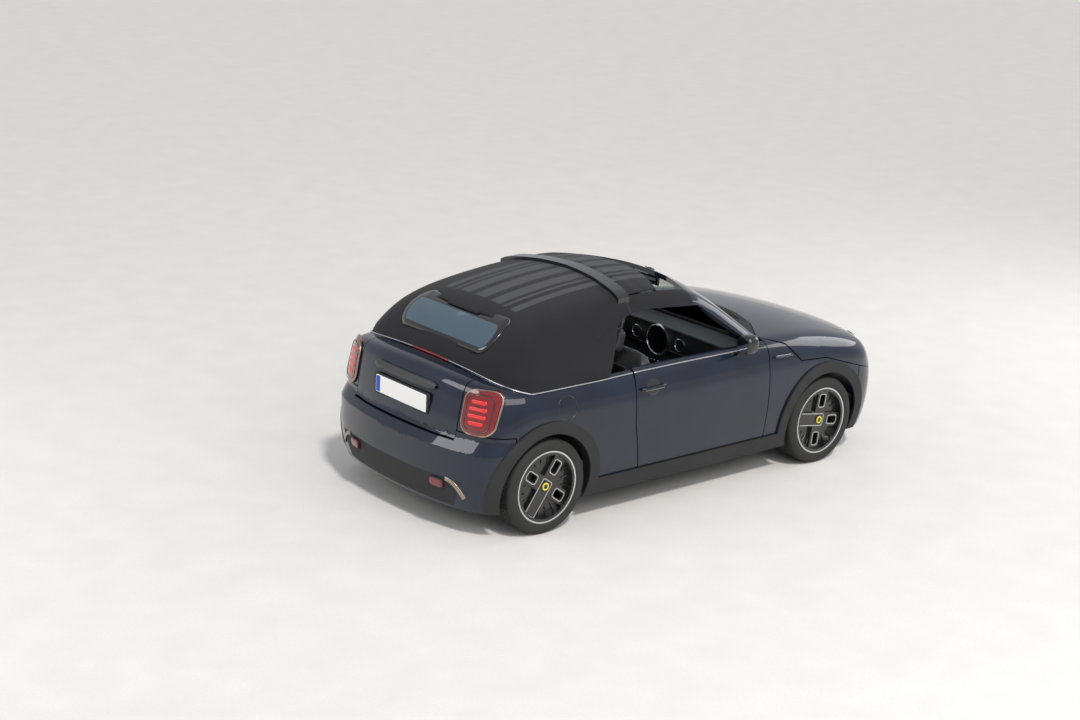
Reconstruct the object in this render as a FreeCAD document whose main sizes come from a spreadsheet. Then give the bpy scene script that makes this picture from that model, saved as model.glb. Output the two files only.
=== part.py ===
import FreeCAD, Part
import math
import os
import re
import Sketcher
from types import SimpleNamespace

# Small electric convertible with a fabric top, its front section slid part open.
# +X is forward, +Y is left and +Z is up. The origin lies on the ground, at the middle of
# the length and of the width. All lengths are millimetres and all angles are degrees.

V = FreeCAD.Vector
doc = FreeCAD.newDocument("convertible")
sheet = doc.addObject("Spreadsheet::Sheet", "Sizes")

SIZES = """
wheelbase 2495
front_overhang 785
rear_overhang 583
track 1485
cap_depth 3
ray_step 2000

half_width 857
plan_bow 6
plan_bow_span 1000
widest_x -100
waist_z 600
tuck_in 48
tuck_height 400
tumble_in 62
tumble_height 360
floor_z -80
under_z 175
deck_z 1000
deck_crown 40
deck_half 700
bonnet_start_x 550
bonnet_fall 230
bonnet_run 1330
nose_bow 230
nose_half 800
nose_lean 62
nose_lean_z 480
nose_lean_height 260
chin_lean 40
chin_z 420
chin_height 230
tail_bow 120
tail_half 750
tail_step 45
tail_step_z 560
tail_step_height 80
tail_lean 60
tail_lean_height 400
blend_top_front 170
blend_top_cabin 110
blend_top_rear 100
blend_front 260
blend_rear 280
blend_bottom 200
hull_centre_z 520

roof_z 1415
roof_peak_x -350
roof_fall_front 60
roof_run_front 520
roof_fall_rear 110
roof_run_rear 1000
roof_crown 50
roof_half 550
screen_base_x 750
screen_base_z 990
screen_rise 370
screen_run 580
screen_bow 220
screen_half 700
back_base_x -1650
back_base_z 980
back_rise 320
back_run 198
back_bow 40
back_half 700
glass_side_y 790
glass_side_z 950
glass_side_in 168
glass_side_rise 350
blend_screen 120
blend_roof_side 130
blend_back 220
blend_back_side 260
blend_post 60
roof_cut_z 880
roof_end_cut 75

skin 24
skin_clearance 8
seat_gap 0.3
trim_proud 14
panel_gap 7
roof_thick 26
glass_thick 6
cut_margin 60

door_front_back 566
door_rear_ahead 708
door_kick 66
door_thick 105
door_edge_taper 16
belt_z 962
sill_z 287
belt_strip 12

scuttle_top_back 385
scuttle_top_z 907
scuttle_low_back 252
scuttle_low_z 781
bonnet_corner_y 722
bonnet_corner_back 590
bonnet_rear_x 845
bonnet_side_z 765
bonnet_front_z 590
bumper_split_ahead 352

arch_radius 350
arch_trim_radius 428
liner_radius 370
liner_wall 8
liner_inner_y 445
rear_liner_inner_y 560

tail_panel_half 520
tail_panel_low_z 622
tail_panel_top_x -1655
tail_panel_deep 60
rear_split_z 672
rear_split_behind 262
lamp_low_z 679
lamp_high_z 948
lamp_inner_y 552
lamp_outer_y 762
lamp_round 70

tyre_radius 308
tyre_half 102.5
tyre_shoulder_radius 290
tyre_shoulder_half 84
rim_radius 235
rim_half 95
rim_wall 22
rim_ring_wide 27
disc_face 52
disc_deep 16
arm_face 74
arm_reach 215
hub_radius 74
cross_wide 96
slot_wide 46
slot_start 96
slot_end 176
slot_round 12

spindle_radius 48
spindle_in 95
ball_y 690
ball_z 200
strut_top_y 545
strut_top_z 800
strut_radius 26
strut_long 584
strut_start_in 1.5
strut_start_up 6.1
strut_room 6
knuckle_half 45
knuckle_gap 8
knuckle_above 60
knuckle_lift 16
arm_half 35
arm_thick 24
trailing_y 500
subframe_half 330
subframe_deep 110
subframe_tall 40
subframe_leg 40
beam_half 38
beam_room 10

pan_half 691
pan_z 195
pan_thick 14
pan_step_x -600
tunnel_half 165
tunnel_z 320
rear_pan_z 300
bench_half 551.7
boot_step_x -1075
boot_floor_z 425
bulkhead_x -1185
bulkhead_top_z 905
tail_wall_x -1800
tail_wall_low_z 300
tail_wall_top_z 606
firewall_x 600
firewall_top_z 915
bay_half 436
pack_low_z 150
pack_gap 6
pack_half 520
drive_half 230
drive_half_width 340
drive_top_z 640
rail_inner 560
rail_outer 620
rail_low_z 550
rail_high_z 605
radiator_thick 30
radiator_half 640
radiator_low_z 235
radiator_top_z 690

dash_rear_x 345
dash_half 700
dash_low_z 620
dash_top_z 900
console_rear_x -420
console_half 105
console_top_z 520
seat_y 360
seat_back_x -330
seat_front_x 200
seat_half 245
seat_low_z 330
seat_top_z 470
riser_half 190
riser_in 90
back_thick 125
back_top_z 930
headrest_half 125
headrest_top_z 1120
bench_back_x -1020
bench_front_x -625
bench_top_z 440
bench_high_z 890
steering_x 150
steering_z 865
steering_radius 178
steering_grip 15
steering_boss_radius 62
steering_spoke 34
column_radius 32
column_long 260

mirror_rear_x 225
mirror_front_x 345
mirror_outer_y 965
mirror_inner_y 845
mirror_low_z 940
mirror_top_z 1070
mirror_round 38
mirror_arm_wide 80
mirror_foot 30

nose_lamp_y 560
nose_lamp_z 712
nose_lamp_radius 92
nose_lamp_rim 12
nose_lens_gap 6
nose_lamp_back 330
bonnet_bow_near 25
bonnet_bow_near_y 241
bonnet_bow_far 110
bonnet_bow_far_y 481

grille_top_z 560
grille_top_half 400
grille_wide_half 455
grille_wide_z 480
grille_low_half 400
grille_low_z 400
intake_top_z 325
intake_half 520
intake_low_z 245

cabin_back_ahead 340
deck_deep 60
sill_deep 60

insert_top_z 372
insert_half 620
insert_low_half 540
insert_low_z 195
fog_centre_y 430
fog_half 52
fog_half_tall 26
fog_z 326

screen_glass_low_z 975
screen_glass_low_half 655
screen_glass_top_half 528
screen_glass_side_z 1290
screen_glass_top_z 1322
header_rear_x 105
header_bow 95

window_post_low_x 440
window_post_top_x 45
window_front_z 1243
window_mid_z 1272
window_rear_top_x -650
window_rear_z 1262
window_rear_low_x -835
window_inner_y 450

slider_half 548
slider_front_x -95
slider_bow 160
bow_x -545
bow_sweep 75
bow_width 95
bow_overhang 45
bow_tall 30
back_glass_low_z 1112
back_glass_low_half 392
back_glass_top_half 410
back_glass_top_z 1262
back_glass_limit_x -1200
"""

for row, line in enumerate(text for text in SIZES.splitlines() if text.strip()):
    alias, value = line.split()
    sheet.set("A%d" % (row + 1), alias)
    sheet.set("B%d" % (row + 1), value)
    sheet.setAlias("B%d" % (row + 1), alias)
doc.recompute()
S = SimpleNamespace(**{
    line.split()[0]: float(sheet.get(line.split()[0])) for line in SIZES.splitlines() if line.strip()})

# Places that follow from the driving sizes
half_length = (S.front_overhang + S.wheelbase + S.rear_overhang) / 2
front_axle_x = half_length - S.front_overhang
rear_axle_x = front_axle_x - S.wheelbase
wheel_y = S.track / 2
door_front_x = front_axle_x - S.door_front_back
door_rear_x = rear_axle_x + S.door_rear_ahead
far = half_length + S.cut_margin
side = S.half_width + S.cut_margin
high = S.roof_z + S.cut_margin


def share_mix(low, high_value, share):
    return low + (high_value - low) * min(1, max(0, share))


def smooth_max(first, second, blend):
    near = max(blend - abs(first - second), 0) / blend
    return max(first, second) + near ** 3 * blend / 6


def over(value):
    return max(0, value)


# Signed distance-like measure of the body: below zero inside. The walls, the top and the
# floor are each a gently bowed surface, and their edges are rounded by the blends.
def hull(x, y, z, inward):
    out = abs(y)
    wide = S.half_width - S.plan_bow * ((x - S.widest_x) / S.plan_bow_span) ** 2
    wide -= S.tuck_in * (over(S.waist_z - z) / S.tuck_height) ** 2
    wide -= S.tumble_in * (over(z - S.waist_z) / S.tumble_height) ** 2.2
    top = S.deck_z - S.bonnet_fall * (over(x - S.bonnet_start_x) / S.bonnet_run) ** 2.2
    top -= S.deck_crown * (out / S.deck_half) ** 2
    nose = half_length + S.cap_depth - S.nose_bow * (out / S.nose_half) ** 2.2
    nose -= S.nose_lean * (over(z - S.nose_lean_z) / S.nose_lean_height) ** 2
    nose -= S.chin_lean * (over(S.chin_z - z) / S.chin_height) ** 2
    tail = half_length + S.cap_depth - S.tail_bow * (out / S.tail_half) ** 2.4
    tail -= S.tail_step * share_mix(0, 1, (z - S.tail_step_z) / S.tail_step_height)
    tail -= S.tail_lean * (over(z - S.tail_step_z) / S.tail_lean_height) ** 1.5
    tail -= S.chin_lean * (over(S.chin_z - z) / S.chin_height) ** 2
    ahead = share_mix(0, 1, (x - S.bonnet_start_x) / S.bonnet_start_x)
    behind = share_mix(0, 1, (S.back_base_x + S.cut_margin - x) / S.cut_margin)
    blend_top = share_mix(S.blend_top_cabin, S.blend_top_front, ahead)
    blend_top = share_mix(blend_top, S.blend_top_rear, behind)
    walls = smooth_max(out - wide, x - nose, S.blend_front)
    walls = smooth_max(walls, -x - tail, S.blend_rear)
    solid = smooth_max(walls, z - top, blend_top)
    return smooth_max(solid, S.floor_z - z, S.blend_bottom) + inward


# The same for the windscreen, the roof and the folding top's back
def greenhouse(x, y, z, inward):
    out = abs(y)
    top = S.roof_z - S.roof_crown * (out / S.roof_half) ** 2
    top -= S.roof_fall_front * (over(x - S.roof_peak_x) / S.roof_run_front) ** 2
    top -= S.roof_fall_rear * (over(S.roof_peak_x - x) / S.roof_run_rear) ** 2
    screen = S.screen_base_x - (z - S.screen_base_z) * S.screen_run / S.screen_rise
    screen -= S.screen_bow * (out / S.screen_half) ** 2
    back = S.back_base_x + (z - S.back_base_z) * S.back_run / S.back_rise
    back += S.back_bow * (out / S.back_half) ** 2
    wide = S.glass_side_y - (z - S.glass_side_z) * S.glass_side_in / S.glass_side_rise
    lean_screen = math.hypot(S.screen_run, S.screen_rise) / S.screen_rise
    lean_back = math.hypot(S.back_run, S.back_rise) / S.back_rise
    walls = smooth_max(out - wide, (x - screen) / lean_screen, S.blend_post)
    walls = smooth_max(walls, (back - x) / lean_back, S.blend_back_side)
    blend = S.blend_roof_side
    if x > S.roof_peak_x:
        blend = S.blend_screen
    else:
        blend = share_mix(S.blend_screen, S.blend_back, (S.roof_peak_x - x) / S.roof_run_rear)
    return smooth_max(walls, z - top, blend) + inward


# Half of a closed form, from the plane of symmetry to the right side: a loft through upright
# sections. Rays from a line on the middle plane find the points of each section.
def half_form(measure, inward, centre_z, low_angle, end_cut, end_shares, rays, smooth):
    def reach(x, angle):
        low, far_out = 0, S.ray_step
        across, up = math.cos(angle), math.sin(angle)
        for _ in range(44):
            middle = (low + far_out) / 2
            inside = measure(x, -middle * across, centre_z + middle * up, inward) < 0
            low, far_out = (middle, far_out) if inside else (low, middle)
        return V(x, -low * across, centre_z + low * up)

    def tip(sign):
        low, far_out = 0, S.ray_step
        for _ in range(50):
            middle = (low + far_out) / 2
            inside = measure(sign * middle, 0, centre_z, inward) < 0
            low, far_out = (middle, far_out) if inside else (low, middle)
        return low - end_cut

    front, back = tip(1), -tip(-1)
    wires = []
    for share in end_shares + [1 - share for share in reversed(end_shares)]:
        x = back + (front - back) * share
        angles = [math.radians(low_angle + (90 - low_angle) * j / rays) for j in range(rays + 1)]
        row = [reach(x, angle) for angle in angles]
        row[-1].y = 0
        corners = [row[-1], row[0]]
        if low_angle == -90:
            row[0].y = 0
        else:
            row[0].z = centre_z
            corners.insert(1, V(x, 0, centre_z))
        curve = Part.BSplineCurve()
        curve.interpolate(row)
        edges = [curve.toShape()] if smooth else Part.makePolygon(row).Edges
        wires.append(Part.Wire(edges + Part.makePolygon(corners).Edges))
    return Part.makeLoft(wires, True, True)


# Where the sections stand, as shares of the length measured in from each end
BODY_SHARES = [0, 0.002, 0.006, 0.012, 0.02, 0.03, 0.043, 0.06, 0.083, 0.114, 0.16, 0.27, 0.42]
ROOF_SHARES = [0, 0.009, 0.022, 0.039, 0.061, 0.087, 0.117, 0.157, 0.2, 0.252, 0.33, 0.43]
PLAIN_SHARES = [0, 0.01, 0.03, 0.07, 0.14, 0.3]
SMOOTH_RAYS = 36
ROOF_RAYS = 18
PLAIN_RAYS = 18
PLAIN_ROOF_RAYS = 12


def body_form(inward):
    return half_form(hull, inward, S.hull_centre_z, -90, S.cap_depth, BODY_SHARES, SMOOTH_RAYS, True)


def roof_form(inward):
    return half_form(greenhouse, inward, S.roof_cut_z, 0, S.roof_end_cut, ROOF_SHARES, ROOF_RAYS, True)


# The hidden inner sides have flat stretches between fewer sections
def plain_body_form(inward):
    return half_form(hull, inward, S.hull_centre_z, -90, S.cap_depth, PLAIN_SHARES, PLAIN_RAYS, False)


def plain_roof_form(inward):
    return half_form(
        greenhouse, inward, S.roof_cut_z, 0, S.roof_end_cut, PLAIN_SHARES, PLAIN_ROOF_RAYS, False)


# Straight cutters whose outline is given in one of the three main planes
def prism_y(points, start, end):
    wire = Part.makePolygon([V(x, start, z) for x, z in points + points[:1]])
    return Part.Face(wire).extrude(V(0, end - start, 0))


def prism_z(points, start, end):
    wire = Part.makePolygon([V(x, y, start) for x, y in points + points[:1]])
    return Part.Face(wire).extrude(V(0, 0, end - start))


def prism_x(points, start, end):
    wire = Part.makePolygon([V(start, y, z) for y, z in points + points[:1]])
    return Part.Face(wire).extrude(V(end - start, 0, 0))


def box(low, high_corner):
    size = V(*high_corner) - V(*low)
    return Part.makeBox(size.x, size.y, size.z, V(*low))


def drum(radius, x, y, z, long):
    return Part.makeCylinder(radius, abs(long), V(x, y, z), V(0, math.copysign(1, long), 0))


def left_of(shape):
    return shape.mirror(V(0, 0, 0), V(0, 1, 0))


def whole(shape):
    return shape.fuse(left_of(shape)).removeSplitter()


def pair(shape):
    return Part.makeCompound([shape, left_of(shape)])


def main_solid(shape):
    return max(shape.Solids, key=lambda item: item.Volume)


nodes = []


def keep(name, shape):
    feature = doc.addObject("Part::Feature", name)
    feature.Label = name
    feature.Shape = shape
    feature.Placement = FreeCAD.Placement()
    nodes.append(feature)
    return feature

# The same forms at the depths that the panels need
outer = body_form(0)
inner = plain_body_form(S.skin)
lining = plain_body_form(S.skin + S.seat_gap)
core = plain_body_form(S.skin + S.skin_clearance)
deep = plain_body_form(S.tail_panel_deep)
proud = body_form(-S.trim_proud)
near = body_form(-S.seat_gap)
roof_outer = roof_form(0)
roof_inner = plain_roof_form(S.roof_thick)
glass_inner = roof_form(S.glass_thick)
roof_near = roof_form(-S.seat_gap)
roof_far = roof_form(-S.bow_tall)
roof_edge = roof_form(-S.belt_strip)
body_skin = outer.cut(inner)
roof_skin = roof_outer.cut(roof_inner).cut(near)
glass_skin = roof_outer.cut(glass_inner).cut(near)
half_gap = S.panel_gap / 2

scuttle_top = (front_axle_x - S.scuttle_top_back, S.scuttle_top_z)
scuttle_low = (front_axle_x - S.scuttle_low_back, S.scuttle_low_z)
bonnet_corner_x = front_axle_x - S.bonnet_corner_back
front_end_x = front_axle_x + S.bumper_split_ahead
tail_cut_x = rear_axle_x - S.rear_split_behind
lamp_back_x = half_length - S.nose_lamp_back


def bonnet_line(grow):
    outline = [
        (bonnet_corner_x - grow, high),
        (bonnet_corner_x - grow, S.belt_z),
        (scuttle_top[0] - grow, scuttle_top[1] - grow),
        (scuttle_low[0] - grow, scuttle_low[1] - grow),
        (front_axle_x, S.bonnet_side_z - grow),
        (half_length - S.nose_bow, S.bonnet_front_z - grow),
        (far, S.bonnet_front_z - grow),
        (far, high),
    ]
    return prism_y(outline, -side, 0)


def bonnet_plan(grow):
    plan = [
        (S.bonnet_rear_x - grow, 0),
        (S.bonnet_rear_x - S.bonnet_bow_near - grow, -S.bonnet_bow_near_y),
        (S.bonnet_rear_x - S.bonnet_bow_far - grow, -S.bonnet_bow_far_y),
        (bonnet_corner_x - grow, -S.bonnet_corner_y),
        (bonnet_corner_x - grow, -side),
        (far, -side),
        (far, 0),
    ]
    return prism_z(plan, 0, high)


def door_zone(grow):
    outline = [
        (door_front_x + grow, S.sill_z - grow),
        (door_front_x + grow, high),
        (door_rear_x - grow, high),
        (door_rear_x - grow, S.waist_z),
        (door_rear_x + S.door_kick - grow, S.sill_z - grow),
    ]
    return prism_y(outline, -side, 0)


def tail_zone(grow):
    half_width = S.tail_panel_half + grow
    low = S.tail_panel_low_z - grow
    block = box((-far, -half_width, low), (S.tail_panel_top_x + grow, 0, high))
    return block


def bumper_zone(grow):
    flank = box((-far, -side, S.under_z), (tail_cut_x + grow, -S.tail_panel_half, S.rear_split_z + grow))
    middle_top = S.tail_panel_low_z - S.panel_gap + grow
    middle = box((-far, -S.tail_panel_half, S.under_z), (tail_cut_x + grow, 0, middle_top))
    return flank.fuse(middle)


def lamp_zone(grow):
    low_z, high_z = S.lamp_low_z - grow, S.lamp_high_z + grow
    inner_y, outer_y = -S.lamp_inner_y + grow, -S.lamp_outer_y - grow
    block = box((-far, outer_y, low_z), (S.tail_panel_top_x, inner_y, high_z))
    edges = [edge for edge in block.Edges if edge.BoundBox.XLength > S.cut_margin]
    return block.makeFillet(S.lamp_round, edges)


wheel_carve_front = drum(S.liner_radius, front_axle_x, -side, S.tyre_radius, side - S.liner_inner_y)
wheel_carve_rear = drum(S.liner_radius, rear_axle_x, -side, S.tyre_radius, side - S.rear_liner_inner_y)
lamp_hole = Part.makeCylinder(
    S.nose_lamp_radius, far, V(front_axle_x, -S.nose_lamp_y, S.nose_lamp_z), V(1, 0, 0))

# Bonnet: one clamshell with a round hole for each headlamp
bonnet = body_skin.common(bonnet_line(-half_gap)).common(bonnet_plan(-half_gap)).cut(lamp_hole)
keep("bonnet", whole(main_solid(bonnet)))

# Front wings: the painted side, the inner wing and the wheel housing in one
bonnet_room = bonnet_line(half_gap).cut(core)
wing_box = box(
    (door_front_x + half_gap, -side, 0),
    (front_end_x - half_gap, -S.liner_inner_y + S.liner_wall, high))
wing = outer.common(wing_box).cut(bonnet_room).cut(wheel_carve_front)
wing = wing.cut(box((0, -side, 0), (far, 0, S.sill_z - half_gap)))
strut_axis = V(0, S.ball_y - S.strut_top_y, S.strut_top_z - S.ball_z)
strut_axis.normalize()
strut_foot = V(front_axle_x, -S.ball_y, S.ball_z)
strut_hole = Part.makeCylinder(
    S.strut_radius + S.strut_room, S.strut_long + S.strut_start_up + S.strut_room, strut_foot, strut_axis)
wing = wing.cut(strut_hole)
keep("front_wings", pair(main_solid(wing)))

# Cowl below the windscreen
cowl_box = box(
    (door_front_x + half_gap, -S.bonnet_corner_y, S.belt_z - S.skin),
    (S.bonnet_rear_x + S.skin, 0, high))
cowl = body_skin.common(cowl_box).common(bonnet_line(half_gap - S.seat_gap))
cowl = cowl.cut(bonnet_line(half_gap).common(bonnet_plan(half_gap))).cut(roof_inner)
keep("cowl_panel", whole(main_solid(cowl)))

# Front bumper, with the closed six-sided grille and the lower intake cut in it
grille_outline = [
    (0, S.grille_top_z),
    (-S.grille_top_half, S.grille_top_z),
    (-S.grille_wide_half, S.grille_wide_z),
    (-S.grille_low_half, S.grille_low_z),
    (0, S.grille_low_z),
]
intake_outline = [
    (0, S.intake_top_z),
    (-S.intake_half, S.intake_top_z),
    (-S.intake_half, S.intake_low_z),
    (0, S.intake_low_z),
]


def shrink(points, amount):
    middle_z = sum(z for y, z in points) / len(points)
    return [(min(0, y + amount) if y else 0, z + (amount if z < middle_z else -amount)) for y, z in points]


nose_box = box((front_end_x + half_gap, -side, S.under_z), (far, 0, high))
nose = body_skin.common(nose_box).cut(bonnet_line(half_gap))
nose = nose.cut(prism_x(grille_outline, front_end_x, far)).cut(prism_x(intake_outline, front_end_x, far))
keep("front_bumper", whole(main_solid(nose)))
grille = body_skin.common(prism_x(shrink(grille_outline, S.seat_gap), front_end_x, far))
intake = body_skin.common(prism_x(shrink(intake_outline, S.seat_gap), front_end_x, far))
keep("front_grilles", Part.makeCompound([
    whole(main_solid(grille.cut(bonnet_line(half_gap)))),
    whole(main_solid(intake))]))

# Headlamps behind the bonnet's holes
lamp = Part.makeCylinder(
    S.nose_lamp_radius + S.nose_lamp_rim,
    far,
    V(lamp_back_x, -S.nose_lamp_y, S.nose_lamp_z),
    V(1, 0, 0))
lens = Part.makeCylinder(
    S.nose_lamp_radius - S.nose_lens_gap,
    far,
    V(lamp_back_x, -S.nose_lamp_y, S.nose_lamp_z),
    V(1, 0, 0))
keep("headlamps", pair(main_solid(core.common(lamp).fuse(outer.common(lens)))))

# Doors: hollow-free slabs from the painted skin to the trim, with their rear edge tapered
door_inner_y = -S.half_width + S.door_thick
door_slab = box((-far, -side, 0), (far, door_inner_y, S.belt_z + S.cut_margin))
taper_box = [
    (door_rear_x - S.panel_gap, -S.half_width + S.skin),
    (door_rear_x + half_gap, -S.half_width + S.skin),
    (door_rear_x + half_gap + S.door_edge_taper, door_inner_y),
    (door_rear_x - S.panel_gap, door_inner_y),
]
door = outer.common(door_zone(-half_gap)).common(door_slab)
door = door.cut(prism_z(taper_box, S.waist_z, high))
taper_foot = Part.Face(Part.makePolygon([V(x, y, S.waist_z) for x, y in taper_box + taper_box[:1]]))
door = door.cut(taper_foot.extrude(V(S.door_kick, 0, S.sill_z - S.waist_z)))
strip = proud.cut(near).common(roof_edge.cut(roof_near))
strip_keep = strip.cut(door_zone(half_gap)).cut(box((door_front_x, -side, 0), (far, 0, high)))
door_strip = strip.common(door_zone(-half_gap)).cut(box((S.window_post_low_x, -side, 0), (far, 0, high)))
door_set = Part.makeCompound([main_solid(door), main_solid(door_strip)])
keep("door_right", door_set)
keep("door_left", left_of(door_set))
keep("belt_strip_rear", whole(main_solid(strip_keep.cut(box((0, -side, 0), (far, 0, high))))))

# Rear quarters: side wall, wheel housing and boot side in one
cabin_room = box(
    (rear_axle_x + S.cabin_back_ahead, -S.half_width + S.door_thick, 0),
    (far, 0, high))
quarter_box = box(
    (-far, -side, S.under_z),
    (door_rear_x + S.door_kick, -S.rear_liner_inner_y + S.liner_wall, high))
quarter = outer.common(quarter_box).cut(door_zone(half_gap)).cut(cabin_room).cut(wheel_carve_rear)
quarter = quarter.cut(bumper_zone(half_gap).cut(lining)).cut(tail_zone(half_gap))
quarter = quarter.cut(lamp_zone(S.seat_gap).cut(core)).cut(roof_inner)
quarter = quarter.cut(box((rear_axle_x, -side, 0), (far, 0, S.sill_z - half_gap)))
quarter = quarter.cut(box(
    (rear_axle_x - S.beam_half - S.beam_room, -S.rear_liner_inner_y, 0),
    (rear_axle_x + S.beam_half + S.beam_room, 0, S.tyre_radius + S.beam_half + S.beam_room)))
lamps = proud.cut(core).common(lamp_zone(0))
lamps = lamps.common(box((-far, -side, 0), (S.tail_panel_top_x - S.seat_gap, 0, high)))
keep("tail_lamps", pair(main_solid(lamps)))

# Tailgate: drops down about a hinge at its lower edge
tailgate = outer.cut(deep).common(tail_zone(-half_gap)).cut(roof_far)
keep("tailgate", whole(main_solid(tailgate)))

# Deck between the tailgate and the folding top
deck = body_skin.common(box(
    (S.tail_panel_top_x + half_gap, -S.rear_liner_inner_y - S.skin, S.belt_z - S.cut_margin),
    (S.back_base_x + S.deck_deep, 0, high)))
tail_strip = body_skin.common(box(
    (-far, -S.rear_liner_inner_y - S.skin, S.rear_split_z + half_gap),
    (S.tail_panel_top_x + half_gap, -S.tail_panel_half - half_gap, high)))
tail_strip = tail_strip.cut(lamp_zone(S.seat_gap))
sill = outer.common(box(
    (rear_axle_x + S.liner_radius, -side, S.under_z),
    (front_axle_x - S.liner_radius, -S.half_width + S.door_thick + S.sill_deep, S.sill_z - half_gap)))
rear_half = main_solid(main_solid(quarter).fuse([deck, tail_strip, sill]))
keep("rear_body", rear_half.fuse(left_of(rear_half)))

# Rear bumper with its wide matt insert
insert_outline = [
    (0, S.insert_top_z),
    (-S.insert_half, S.insert_top_z),
    (-S.insert_low_half, S.insert_low_z),
    (0, S.insert_low_z),
]
bumper = body_skin.common(bumper_zone(-half_gap)).cut(wheel_carve_rear)
bumper = bumper.cut(prism_x(insert_outline, -far, tail_cut_x))
keep("rear_bumper", whole(main_solid(bumper)))
insert = body_skin.common(prism_x(shrink(insert_outline, S.seat_gap), -far, tail_cut_x - S.skin))
fog_box = box(
    (-far, -S.fog_centre_y - S.fog_half, S.fog_z - S.fog_half_tall),
    (tail_cut_x, -S.fog_centre_y + S.fog_half, S.fog_z + S.fog_half_tall))
fog = proud.cut(inner).common(fog_box)
insert = insert.cut(fog_box)
keep("bumper_insert", whole(main_solid(insert)))
keep("fog_lamps", pair(main_solid(fog)))

# Windscreen frame and glass
glass_outline = [
    (0, S.screen_glass_low_z),
    (-S.screen_glass_low_half, S.screen_glass_low_z),
    (-S.screen_glass_top_half, S.screen_glass_side_z),
    (0, S.screen_glass_top_z),
]


def side_opening(grow):
    outline = [
        (S.window_post_low_x + grow, S.belt_z - S.cut_margin),
        (S.window_post_low_x + grow, S.belt_z),
        (S.window_post_top_x + grow, S.window_front_z + grow),
        (S.roof_peak_x, S.window_mid_z + grow),
        (S.window_rear_top_x - grow, S.window_rear_z + grow),
        (S.window_rear_low_x - grow, S.belt_z),
        (S.window_rear_low_x - grow, S.belt_z - S.cut_margin),
    ]
    return prism_y(outline, -side, -S.window_inner_y)


plan_share, near_share, sweep_share = 0.5, 0.17, 0.25
header_plan = [
    (S.header_rear_x, 0),
    (S.header_rear_x, -S.slider_half * plan_share),
    (S.header_rear_x - S.header_bow, -S.slider_half),
    (S.header_rear_x - S.header_bow, -side),
    (far, -side),
    (far, 0),
]
frame = roof_skin.common(prism_z(header_plan, 0, high)).cut(side_opening(0))
frame = frame.cut(prism_x(glass_outline, 0, far))
frame = frame.cut(box((-far, -side, 0), (door_front_x + half_gap, 0, S.belt_z)))
keep("windscreen_frame", whole(main_solid(frame)))
glass = glass_skin.common(prism_x(shrink(glass_outline, S.seat_gap), 0, far))
keep("windscreen", whole(main_solid(glass)))

# Folding top: the rear part, the slid panel, the raised bow and the fixed side rails
slider_plan = [
    (S.slider_front_x, 0),
    (S.slider_front_x - S.slider_bow * near_share, -S.slider_half * plan_share),
    (S.slider_front_x - S.slider_bow, -S.slider_half + S.seat_gap),
    (S.bow_x + S.seat_gap, -S.slider_half + S.seat_gap),
    (S.bow_x + S.seat_gap, 0),
]
rear_outline = [
    (0, S.back_glass_low_z),
    (-S.back_glass_low_half, S.back_glass_low_z),
    (-S.back_glass_top_half, S.back_glass_top_z),
    (0, S.back_glass_top_z),
]
top = roof_skin.common(box((-far, -side, 0), (S.bow_x, 0, high))).cut(side_opening(0))
top = top.cut(prism_x(rear_outline, -far, S.back_glass_limit_x))
keep("folding_top", whole(main_solid(top)))
back_glass = glass_skin.common(prism_x(shrink(rear_outline, S.seat_gap), -far, S.back_glass_limit_x))
keep("rear_window", whole(main_solid(back_glass)))
slider = roof_skin.common(prism_z(slider_plan, S.belt_z, high))
keep("sliding_panel", whole(main_solid(slider)))
bow_plan = [
    (S.bow_x, 0),
    (S.bow_x - S.bow_sweep * sweep_share, -S.slider_half * plan_share),
    (S.bow_x - S.bow_sweep, -S.slider_half - S.bow_overhang),
    (S.bow_x - S.bow_sweep + S.bow_width, -S.slider_half - S.bow_overhang),
    (S.bow_x - S.bow_sweep * sweep_share + S.bow_width, -S.slider_half * plan_share),
    (S.bow_x + S.bow_width, 0),
]
bow = roof_far.cut(roof_near).common(prism_z(bow_plan, S.window_mid_z, high))
keep("roof_bow", whole(main_solid(bow)))
rail_box = box((S.bow_x + S.seat_gap, -side, S.belt_z), (far, -S.slider_half - S.seat_gap, high))
rail = roof_skin.common(rail_box).cut(side_opening(0)).cut(prism_z(header_plan, 0, high))
rail = rail.cut(box((S.header_rear_x - S.header_bow - S.seat_gap, -side, 0), (far, 0, high)))
keep("roof_side_rails", pair(main_solid(rail)))

# Matt cladding: sills and wheel-arch trims
arch_front = drum(S.arch_trim_radius, front_axle_x, -side, S.tyre_radius, side - wheel_y)
arch_rear = drum(S.arch_trim_radius, rear_axle_x, -side, S.tyre_radius, side - wheel_y)
arch_front = arch_front.cut(drum(S.arch_radius, front_axle_x, -side, S.tyre_radius, side))
arch_rear = arch_rear.cut(drum(S.arch_radius, rear_axle_x, -side, S.tyre_radius, side))
sill_trim_box = box(
    (rear_axle_x + S.arch_radius, -side, S.under_z),
    (front_axle_x - S.arch_radius, -wheel_y, S.sill_z - half_gap))
trim_skin = proud.cut(near)
cladding = trim_skin.common(arch_front.fuse([arch_rear, sill_trim_box]))
cladding = cladding.cut(box((-far, -side, 0), (far, 0, S.under_z)))
keep("arch_and_sill_trims", pair(main_solid(cladding)))


# Sizes as text: the same words give the number and the bound formula
def number(text):
    total = 0
    for term in text.replace("- ", "+ -").split("+"):
        name, _, divisor = term.strip().lstrip("-").partition(" / ")
        if name in ("", "0"):
            continue
        amount = getattr(S, name) / (float(divisor) if divisor else 1)
        total += -amount if term.strip().startswith("-") else amount
    return total


def formula(text):
    return re.sub("[a-z][a-z_]+", lambda found: "Sizes." + found.group(), text)


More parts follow.
